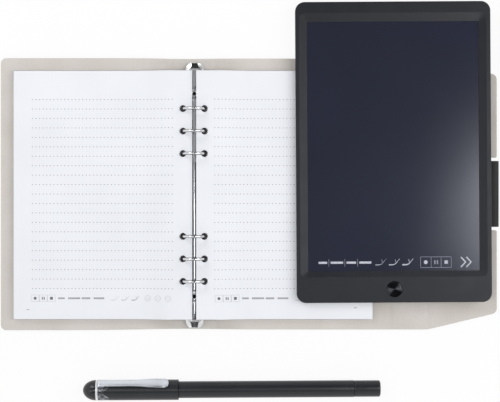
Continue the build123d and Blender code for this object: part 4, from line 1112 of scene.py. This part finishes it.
bore, tube, flange = 1.4, 1.8, 3.0
rolled_rim = [(bore, 7.7), (1.7, 8.1), (2.15, 8.1), (2.6, 7.7), (2.6, 7.4), (tube, 7.4)]
rivet_foot = [(tube, 1.3), (flange, 1.3), (flange, 0.8), (bore, 0.8), (bore, 1.3)]
rivet = round_profile([(bore, 1.4), *rolled_rim, *rivet_foot], 0.28)
rivets = joined([turned(rivet, (rivet_x, s), closed=True) for s in rivet_y])
seat(shape_piece("rolled_rivets", rivets, ring_nickel), "spine", "ring_rivets", slot="ring_chrome")

# Painted shade: the stubs are near-black so that each bore reads as a dark hole.
mandrel_steel = wandering("black_mandrel_painted_shade", "#17181A", 0.6, colour=(0.6, "#121315", "#1E1F22"))
stub = round_profile([(0.03, 5.2), (0.9, 5.2), (1.38, 4.6), (1.38, 2.0), (0.03, 2.0)], 0.3)
stubs = joined([turned(stub, (rivet_x, s)) for s in rivet_y])
seat(shape_piece("mandrel_stubs_painted_shade", stubs, mandrel_steel), "spine")

# %% [markdown]
# The two levers at the ends are cast tabs. From above each is a round-ended tongue: a nearly flat middle
# panel that flares towards the plate, and a wing on each side that falls away at a good twenty degrees and
# mirrors the white walls. The outline, the panel's half width and the heights are curves along the lever,
# and the upper side is a fine grid, so that the narrow turn between panel and wing stays crisp. The bottom
# lever sticks out a little further than the top one.


# %% Thumb levers
def lever(end, length):
    """Tongue of half width w(t) whose panel of half width c(t) is nearly flat, t from 0 at the plate to 1.

    Beyond the panel the top falls by 0.42 (|x| - c), with a soft turn, and a quarter circle of 0.5 mm rolls
    the rim over. The panel itself falls by 1.2 (t - 0.3), less so at its sides.
    """
    start_y, aside, crown, base_half = 105.3, 0.6, 8.1, 7.8
    wing_slope, roll_size, soft = 0.42, 0.5, 0.02
    t = np.linspace(0, 1, 41)[:, None]
    w = base_half * np.sqrt(1 - (0.86 * t**1.2) ** 2)
    w = w * np.clip(1 - (np.clip(t - 0.93, 0, None) / 0.075) ** 2, 0.05, 1) ** 0.25
    c = np.minimum(2.3 + 4.6 * (1 - t) ** 2.8, w - 0.8)
    x = w * np.sin(np.linspace(-np.pi / 2, np.pi / 2, 61))[None]
    beyond = np.sqrt(np.clip(np.abs(x) - c, 0, None) ** 2 + soft) - np.sqrt(soft)
    dip = 1.2 * np.clip(t - 0.3, 0, None) * (1 - 0.25 * (x / c).clip(-1, 1) ** 2)
    panel = crown + 0.12 * smooth_step(t / 0.12) - dip
    roll = np.sqrt(1 - np.clip((np.abs(x) - (w - roll_size)) / roll_size, 0, 1) ** 2) - 1
    tip = np.sqrt(1 - np.clip((t - 0.94) / 0.06, 0, 1) ** 2) - 1
    z = panel - wing_slope * beyond + roll_size * (roll + tip)
    under_x = x[:, ::-6] * 0.96
    under = np.broadcast_to(3.6 + 2.0 * t, under_x.shape)
    x, z = np.concatenate([x, under_x], 1) + aside, np.concatenate([z, under], 1)
    y = np.broadcast_to(end * (start_y + length * t), x.shape)
    return np.stack([x, y, z], -1).reshape(-1, 3), capped_faces(*x.shape)


for end, word, length in ((1, "top", 6.9), (-1, "bottom", 7.6)):
    piece = shape_piece(f"{word}_thumb_lever", lever(end, length), ring_nickel, 60)
    seat(piece, f"{word}_lever", f"{word}_trigger", slot="ring_chrome")

# %% [markdown]
# ## Writing tablet
# The case is moulded ABS with a fine spark-eroded texture, which makes it satin. The screen is a hard
# coated film over a dark liquid layer: nearly black-blue, smooth, and a little hazy, so that a lamp shows in
# it as a soft glow without an edge. The button is turned aluminium, dyed black.

# %% Finishes of the tablet
tablet_abs = wandering(
    "satin_moulded_abs",
    "#16171A",
    0.40,
    colour=(25.0, "#10131B", "#151821"),
    rough=(9.0, 0.36, 0.44),
    bumps=(0.5, 1.0, 0.012),
    Specular_IOR_Level=0.44,
)
screen_film = wandering(
    "hard_coated_film",
    "#16192E",
    0.15,
    colour=(60.0, "#121529", "#171A2F"),
    rough=(45.0, 0.14, 0.17),
    Specular_IOR_Level=0.58,
    Specular_Tint=(0.89, 0.93, 1.0, 1.0),
    IOR=1.5,
)
button_alu = wandering("black_dyed_turned_aluminium", "#2C2D30", 0.13, rough=(1.2, 0.11, 0.15), Metallic=1.0)
print("tablet finishes:", tablet_abs.name, screen_film.name, button_alu.name)

# %% [markdown]
# ## Erase button
# A lathe leaves fine rings on the button's face, and each ring mirrors the soft boxes at only two places.
# All these glints together are the two bright fans of a turned face. Real rings are a few hundredths of a
# millimetre apart; here they are half a millimetre, and are real geometry: the face's height is a wave in
# the radius, and a wider groove runs inside the rim.


# %% Turned button with its rings
face_z, ripple_height, ripple_gap = 13.52, 0.022, 0.5
r = np.linspace(0.05, 5.3, 85)
ripple = face_z + ripple_height * np.cos(2 * np.pi * r / ripple_gap)
lip = [(5.45, 13.50), (5.7, 13.42), (5.9, 13.44), (6.1, 13.56), (6.35, 13.6), (6.58, 13.52), (6.65, 13.3)]
skirt = [(6.65, 12.1), (7.6, 12.1), (7.6, 11.6), (0.05, 11.6)]
face_profile = np.concatenate([np.stack([r, ripple], -1), lip, skirt])
button = shape_piece("turned_erase_button", turned(face_profile, (169.7, -79.6), sides=72), button_alu, 50)
seat(button, "button", "erase_button", slot="button_metal")

# %% [markdown]
# ## The tablet's printed row
# White marks are printed on the foot of the screen: four colour places between thin dividers, three line
# widths, the recording boxes and a double arrow. The tablet lies turned by a third of a degree, so a row
# of marks is laid out in the tablet's own directions and then turned with it.

# %% Marks on the screen
screen_ink = wandering("white_screen_ink", "#C4C6D2", 0.5, colour=(1.0, "#BCBECB", "#CED0DA"))
faint_ink = wandering("thin_white_screen_ink", "#A2A5B6", 0.5, colour=(1.0, "#9A9EB0", "#AAADBD"))
film_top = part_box("writing_film")[1][2] / MM
tablet_turn = np.radians(0.35)
tablet_middle = (168.9, 36.3)


def screen_surface(x):
    """Level just above the film."""
    return np.full(np.shape(x), film_top + hair)


def turn_with_tablet(flat):
    """From the tablet's own x and y to the frame: turned by the tablet's angle and moved to its middle."""
    c, s = np.cos(tablet_turn), np.sin(tablet_turn)
    x = tablet_middle[0] + c * flat[:, 0] - s * flat[:, 1]
    return np.column_stack([x, tablet_middle[1] + s * flat[:, 0] + c * flat[:, 1]])


row = -93.3
colour_bars = (-63.9, -56.6), (-53.8, -43.1), (-40.3, -32.2), (-29.5, -19.3)
divider_x, box_x, arrow_x = (-55.2, -41.7, -30.9), (22.3, 31.3, 39.7, 48.3), (56.4, 61.0)
box_low, box_high, thin = row - 4.5, row + 4.5, 0.3
first_stroke, stroke_gap = -15.9, 11.4
bright = [bar(x0, x1, row, 1.9) for x0, x1 in colour_bars]
for k, weight in enumerate((0.6, 0.9, 1.25)):
    bright += stroke_mark(first_stroke + stroke_gap * k, row - 2.0, 9.2, weight)
bright += [disc(26.7, row, 1.65), bar(42.55, 45.45, row, 2.9)]
bright += [ribbon([(x, row + 4.3), (x + 4.0, row), (x, row - 4.3)], 1.25) for x in arrow_x]
faint = [post(x, row - 3.4, row + 3.0, thin) for x in divider_x]
faint += [bar(box_x[0], box_x[-1], y, thin) for y in (box_low, box_high)]
faint += [post(x, box_low, box_high, thin) for x in box_x]
faint += [post(35.5 + s, row - 1.7, row + 1.7, 1.0) for s in (-1.1, 1.1)]
seat(print_marks("screen_marks", bright, screen_ink, screen_surface, turn_with_tablet), "tablet")
seat(print_marks("screen_thin_lines", faint, faint_ink, screen_surface, turn_with_tablet), "tablet")

# %% [markdown]
# ## Pen
# The barrel and cap are aluminium tube with a fine black satin lacquer. The dome is polished black, with
# a bright ring and a notched nickel collar behind it, whose hammered surface glitters. The collar's colour
# is painted dark and speckled, a painted dark reflection. Each round part is a profile turned about the
# pen's axis. A dark thin ring of its own draws the joint line in the cap.

# %% Finishes of the pen
pen_lacquer = wandering(
    "satin_black_lacquer",
    "#202226",
    0.34,
    colour=(20.0, "#1E2024", "#232529"),
    rough=(4.0, 0.32, 0.37),
    bumps=(0.4, 1.0, 0.006),
)
dome_gloss = wandering(
    "polished_black_resin", "#1E1F22", 0.25, colour=(8.0, "#1B1C1F", "#222326"), rough=(2.0, 0.23, 0.28)
)
pen_nickel = wandering("satin_nickel_ring", "#EDEEF0", 0.5, rough=(2.0, 0.46, 0.54), Metallic=1.0)

# Painted dark reflection: the collar's nickel is given a dark colour, speckled lighter and darker with its
# hammered relief.
collar_metal, shader, place = new_finish("hammered_nickel_painted_dark", "#6E7074", 0.3, Metallic=1.0)
dents_and_painted_speckle = grain(collar_metal, place, 1.1, 1.0)
tint(collar_metal, shader, dents_and_painted_speckle, "#3A3B3F", "#9A9CA1")
relief(collar_metal, shader, dents_and_painted_speckle, 0.25)
print("pen finishes:", pen_lacquer.name, dome_gloss.name, pen_nickel.name, collar_metal.name)

# %% [markdown]
# The pen's own directions: along its axis, straight up, and across. A point has a station along the axis,
# a radius and an angle from straight up towards the back.


# %% Turned parts of the pen
pen_turn = np.radians(0.35)
along = np.array([np.cos(pen_turn), np.sin(pen_turn), 0])
across = np.array([-np.sin(pen_turn), np.cos(pen_turn), 0])
upward = np.array([0.0, 0.0, 1.0])
pen_middle = np.array([32.05, -164.7, 8.85])


def pen_turned(profile, closed=False, sides=64):
    """Profile of (station, radius) turned about the axis: middle + u along + r (cos a up + sin a across)."""
    profile = np.asarray(profile, float)
    angle = full_turn(sides)[:, None]
    out = np.cos(angle) * upward + np.sin(angle) * across
    points = pen_middle + profile[:, 0, None, None] * along + profile[:, 1, None, None] * out[None]
    if closed:
        return points.reshape(-1, 3), grid_faces(len(profile), sides, wrap_rows=True, wrap_columns=True)
    return points.reshape(-1, 3), capped_faces(len(profile), sides)


near_axis = 0.05
dome_start, dome_length, dome_radius = -114.9, 11.1, 8.65
sweep = np.radians(np.linspace(2, 90, 20))
dome = np.stack([dome_start - dome_length * np.cos(sweep), dome_radius * np.sin(sweep)], -1)
dome = np.concatenate([dome, [(-114.75, 8.0), (-114.75, near_axis)]])
seat(shape_piece("cap_dome", pen_turned(dome), dome_gloss, 40), "pen_cap", "pen_cap_dome", slot="pen_gloss")
band = [(-114.0, 7.9), (-114.9, 7.9), (-114.9, 8.8), (-113.0, 8.8), (-113.0, 7.9), (-113.9, 7.9)]
ring = shape_piece("cap_ring", pen_turned(round_profile(band, 0.3), True), pen_nickel)
seat(ring, "pen_cap", "pen_cap_ring", slot="pen_chrome")
joint = [(-92.7, 8.3), (-92.7, 8.54), (-92.4, 8.54), (-92.4, 8.3)]
seat(shape_piece("cap_joint_line", pen_turned(joint, True), collar_metal), "pen_cap")
tube_bore, tenon, tube_radius = 5.5, 6.9, 7.1
shaft = [(0, tube_bore), (-58, tube_bore), (-58, tenon), (-44.7, tenon), (-44.7, tube_radius)]
shaft += [(103.7, tube_radius), (103.7, tube_bore), (0.5, tube_bore)]
barrel = shape_piece("pen_shaft", pen_turned(round_profile(shaft, 0.3), True), pen_lacquer)
seat(barrel, "pen", "pen_barrel", slot="pen_satin")
plug = [(98.3, near_axis), (98.3, 5.4), (103.8, 5.4), (103.8, 6.95), (125.2, 6.95), (126.0, 5.5)]
plug.append((126.0, near_axis))
end_plug = shape_piece("pen_end_plug", pen_turned(round_profile(plug, 0.8)), pen_lacquer)
seat(end_plug, "pen_plug", "end_plug", slot="pen_gloss")

# %% [markdown]
# Where the collar's notch ends, two small facets are ground bright. Each is a thin triangle bent round the
# collar: a row at share u of its length runs between the sides A to B and A to C.


# %% Bright facets on the collar
def collar_facet(a, b, c):
    """Triangle of (station, angle) corners as rows A + u (B - A) + u v (C - B), just above the collar."""
    a, b, c = (np.array(corner, float) for corner in (a, b, c))
    rows, columns = 10, 8
    u = np.linspace(0.04, 1, rows)[:, None, None]
    v = np.linspace(0, 1, columns)[None, :, None]
    flat = a + u * (b - a) + u * v * (c - b)
    angle = np.radians(flat[..., 1:])
    out = np.cos(angle) * upward + np.sin(angle) * across
    layers = [(pen_middle + flat[..., :1] * along + r * out).reshape(-1, 3) for r in (8.58, 8.42)]
    quads = np.array(grid_faces(rows, columns))
    count = rows * columns
    faces = [quads, quads[:, ::-1] + count, wall_faces(single_edges(quads), 0, count)]
    return np.concatenate(layers), np.concatenate(faces).tolist()


for word, corners in (
    ("back", ((-108.0, -2.0), (-103.6, 20.0), (-106.7, 20.0))),
    ("front", ((-108.5, -27.0), (-103.7, -58.0), (-107.3, -58.0))),
):
    seat(shape_piece(f"{word}_collar_facet", collar_facet(*corners), pen_nickel), "pen_cap")

# %% [markdown]
# The clip is a spring strip. It is rooted behind the bright ring, stands a millimetre off the cap, narrows
# at its waist and dips to the cap under a rounded paddle. Its section is a low crowned strip, so the formula
# gives half width, top and underside along the clip, and the loop of points runs over the top and back.


# %% Pocket clip
def clip_strip():
    """Loop at station u: over the top from -w to w at height h - 0.35 (x/w)^2, and back along the underside.

    The half width w runs through a few measured knots by smooth steps, and a quarter ellipse ends the nose.
    Up to the root's end the underside sits on the round cap, and from there on it stands free.
    """
    roll = np.radians(42.0)
    root, root_end, nose_start, nose, cap_radius = -111.6, -107.4, -56.8, 3.81, 8.66
    runs = (-112.8, -110.8, 9), (-110.6, -57, 90), (nose_start, -53.0, 24)
    u = np.concatenate([np.linspace(*run) for run in runs])
    knots = np.array([-112.8, -104.0, -84.0, -62.5, nose_start])
    widths = np.array([3.2, 3.35, 3.3, 4.65, 4.7])
    stretch = np.clip(np.searchsorted(knots, u, side="right") - 1, 0, 3)
    share = smooth_step((u - knots[stretch]) / (knots[stretch + 1] - knots[stretch]))
    w = widths[stretch] * (1 - share) + widths[stretch + 1] * share
    w = w * np.sqrt(np.clip(1 - (np.clip(u - nose_start, 0, None) / nose) ** 2, 0.0004, 1))
    top = 10.45 + 0.25 * smooth_step((u + 111) / 20) - 0.5 * np.exp(-(((u + 58.8) / 5.0) ** 2))
    top = (top - 0.9 * np.clip((root - u) / 1.2, 0, 1) ** 2)[:, None]
    rooted = (u < root_end)[:, None]
    part = np.linspace(-1, 1, 17)[None]
    x = w[:, None] * part
    over = top - 0.35 * part**2 - 0.25 * np.abs(part) ** 8
    below = np.where(rooted, np.sqrt(cap_radius**2 - x**2), top - 0.9)
    below = np.minimum(below, over - 0.25)
    lift = np.concatenate([over, below[:, ::-1]], 1)[..., None]
    aside = np.concatenate([x, x[:, ::-1] * 0.96], 1)[..., None]
    normal = np.cos(roll) * upward + np.sin(roll) * across
    sideways = -np.sin(roll) * upward + np.cos(roll) * across
    points = pen_middle + u[:, None, None] * along + lift * normal + aside * sideways
    return points, capped_faces(*points.shape[:2])


seat(shape_piece("spring_clip", clip_strip(), clip_satin, 50), "pen_cap", "pocket_clip", slot="clip_silver")

# %% [markdown]
# ## Finishes of all other parts
# What stays as the frame gives it gets its finish by the part's slot: boards, magnets, screws, the tablet's
# case and its insides, and the parts that only show when the cap is off. Book board is dull and fibrous.
# Magnets, the coin cell and the refill are plated or drawn metal with a soft mirror. The solder mask is a
# glossy green lacquer, the camera window is dark glass, and the nose and the backing plate are plain black
# mouldings.


# %% Small finishes by slot
def speckled(name, written, dark, light, roughness, size_mm, depth_mm, **sockets):
    """A finish with soft blotches of two near colours, a wandering roughness and a fine relief."""
    rough = (size_mm, roughness * 0.88, min(1.0, roughness * 1.12))
    bumps = (size_mm / 4, 1.0, depth_mm)
    return wandering(name, written, roughness, (size_mm, dark, light), rough, bumps, **sockets)


finishes = {
    "cover_leather": cover_leather,
    "cover_lining": cover_lining,
    "ring_chrome": ring_nickel,
    "spring_steel": blade_steel,
    "paper": left_paper,
    "tablet_plastic": tablet_abs,
    "screen": screen_film,
    "button_metal": button_alu,
    "pen_gloss": dome_gloss,
    "pen_satin": pen_lacquer,
    "pen_chrome": collar_metal,
    "clip_silver": clip_satin,
}
metal, glass = {"Metallic": 1.0}, {"IOR": 1.5}
for slot, name, written, dark, light, roughness, size_mm, depth_mm, sockets in (
    ("cover_board", "grey_book_board", "#9A958C", "#8F8A81", "#A5A097", 0.9, 3.0, 0.03, {}),
    ("magnet", "nickel_coated_magnet", "#A9ABAE", "#A0A2A5", "#B2B4B7", 0.3, 3.0, 0.005, metal),
    ("panel_plastic", "black_backing_plate", "#1B1C1F", "#191A1D", "#1F2023", 0.6, 6.0, 0.01, {}),
    ("circuit", "green_solder_mask", "#1F5A3A", "#1A4E32", "#256644", 0.4, 2.0, 0.01, {}),
    ("battery_steel", "battery_can_steel", "#B8BABD", "#AEB0B3", "#C2C4C7", 0.25, 4.0, 0.004, metal),
    ("pen_plastic", "black_nose_plastic", "#26272A", "#232427", "#2B2C2F", 0.45, 4.0, 0.008, {}),
    ("camera_glass", "dark_camera_window", "#101014", "#0E0E12", "#15141C", 0.08, 2.0, 0.001, glass),
    ("refill_metal", "brass_refill", "#C2A25C", "#B69650", "#CEAE68", 0.28, 1.5, 0.004, metal),
):
    finishes[slot] = speckled(name, written, dark, light, roughness, size_mm, depth_mm, **sockets)
for name, node in nodes.items():
    for material_slot in node.material_slots:
        label = material_slot.material.name.split(".")[0] if material_slot.material else ""
        if label in finishes:
            material_slot.material = finishes[label]
        else:
            print("no finish for", name, label)
print("finishes by slot:", len(finishes))
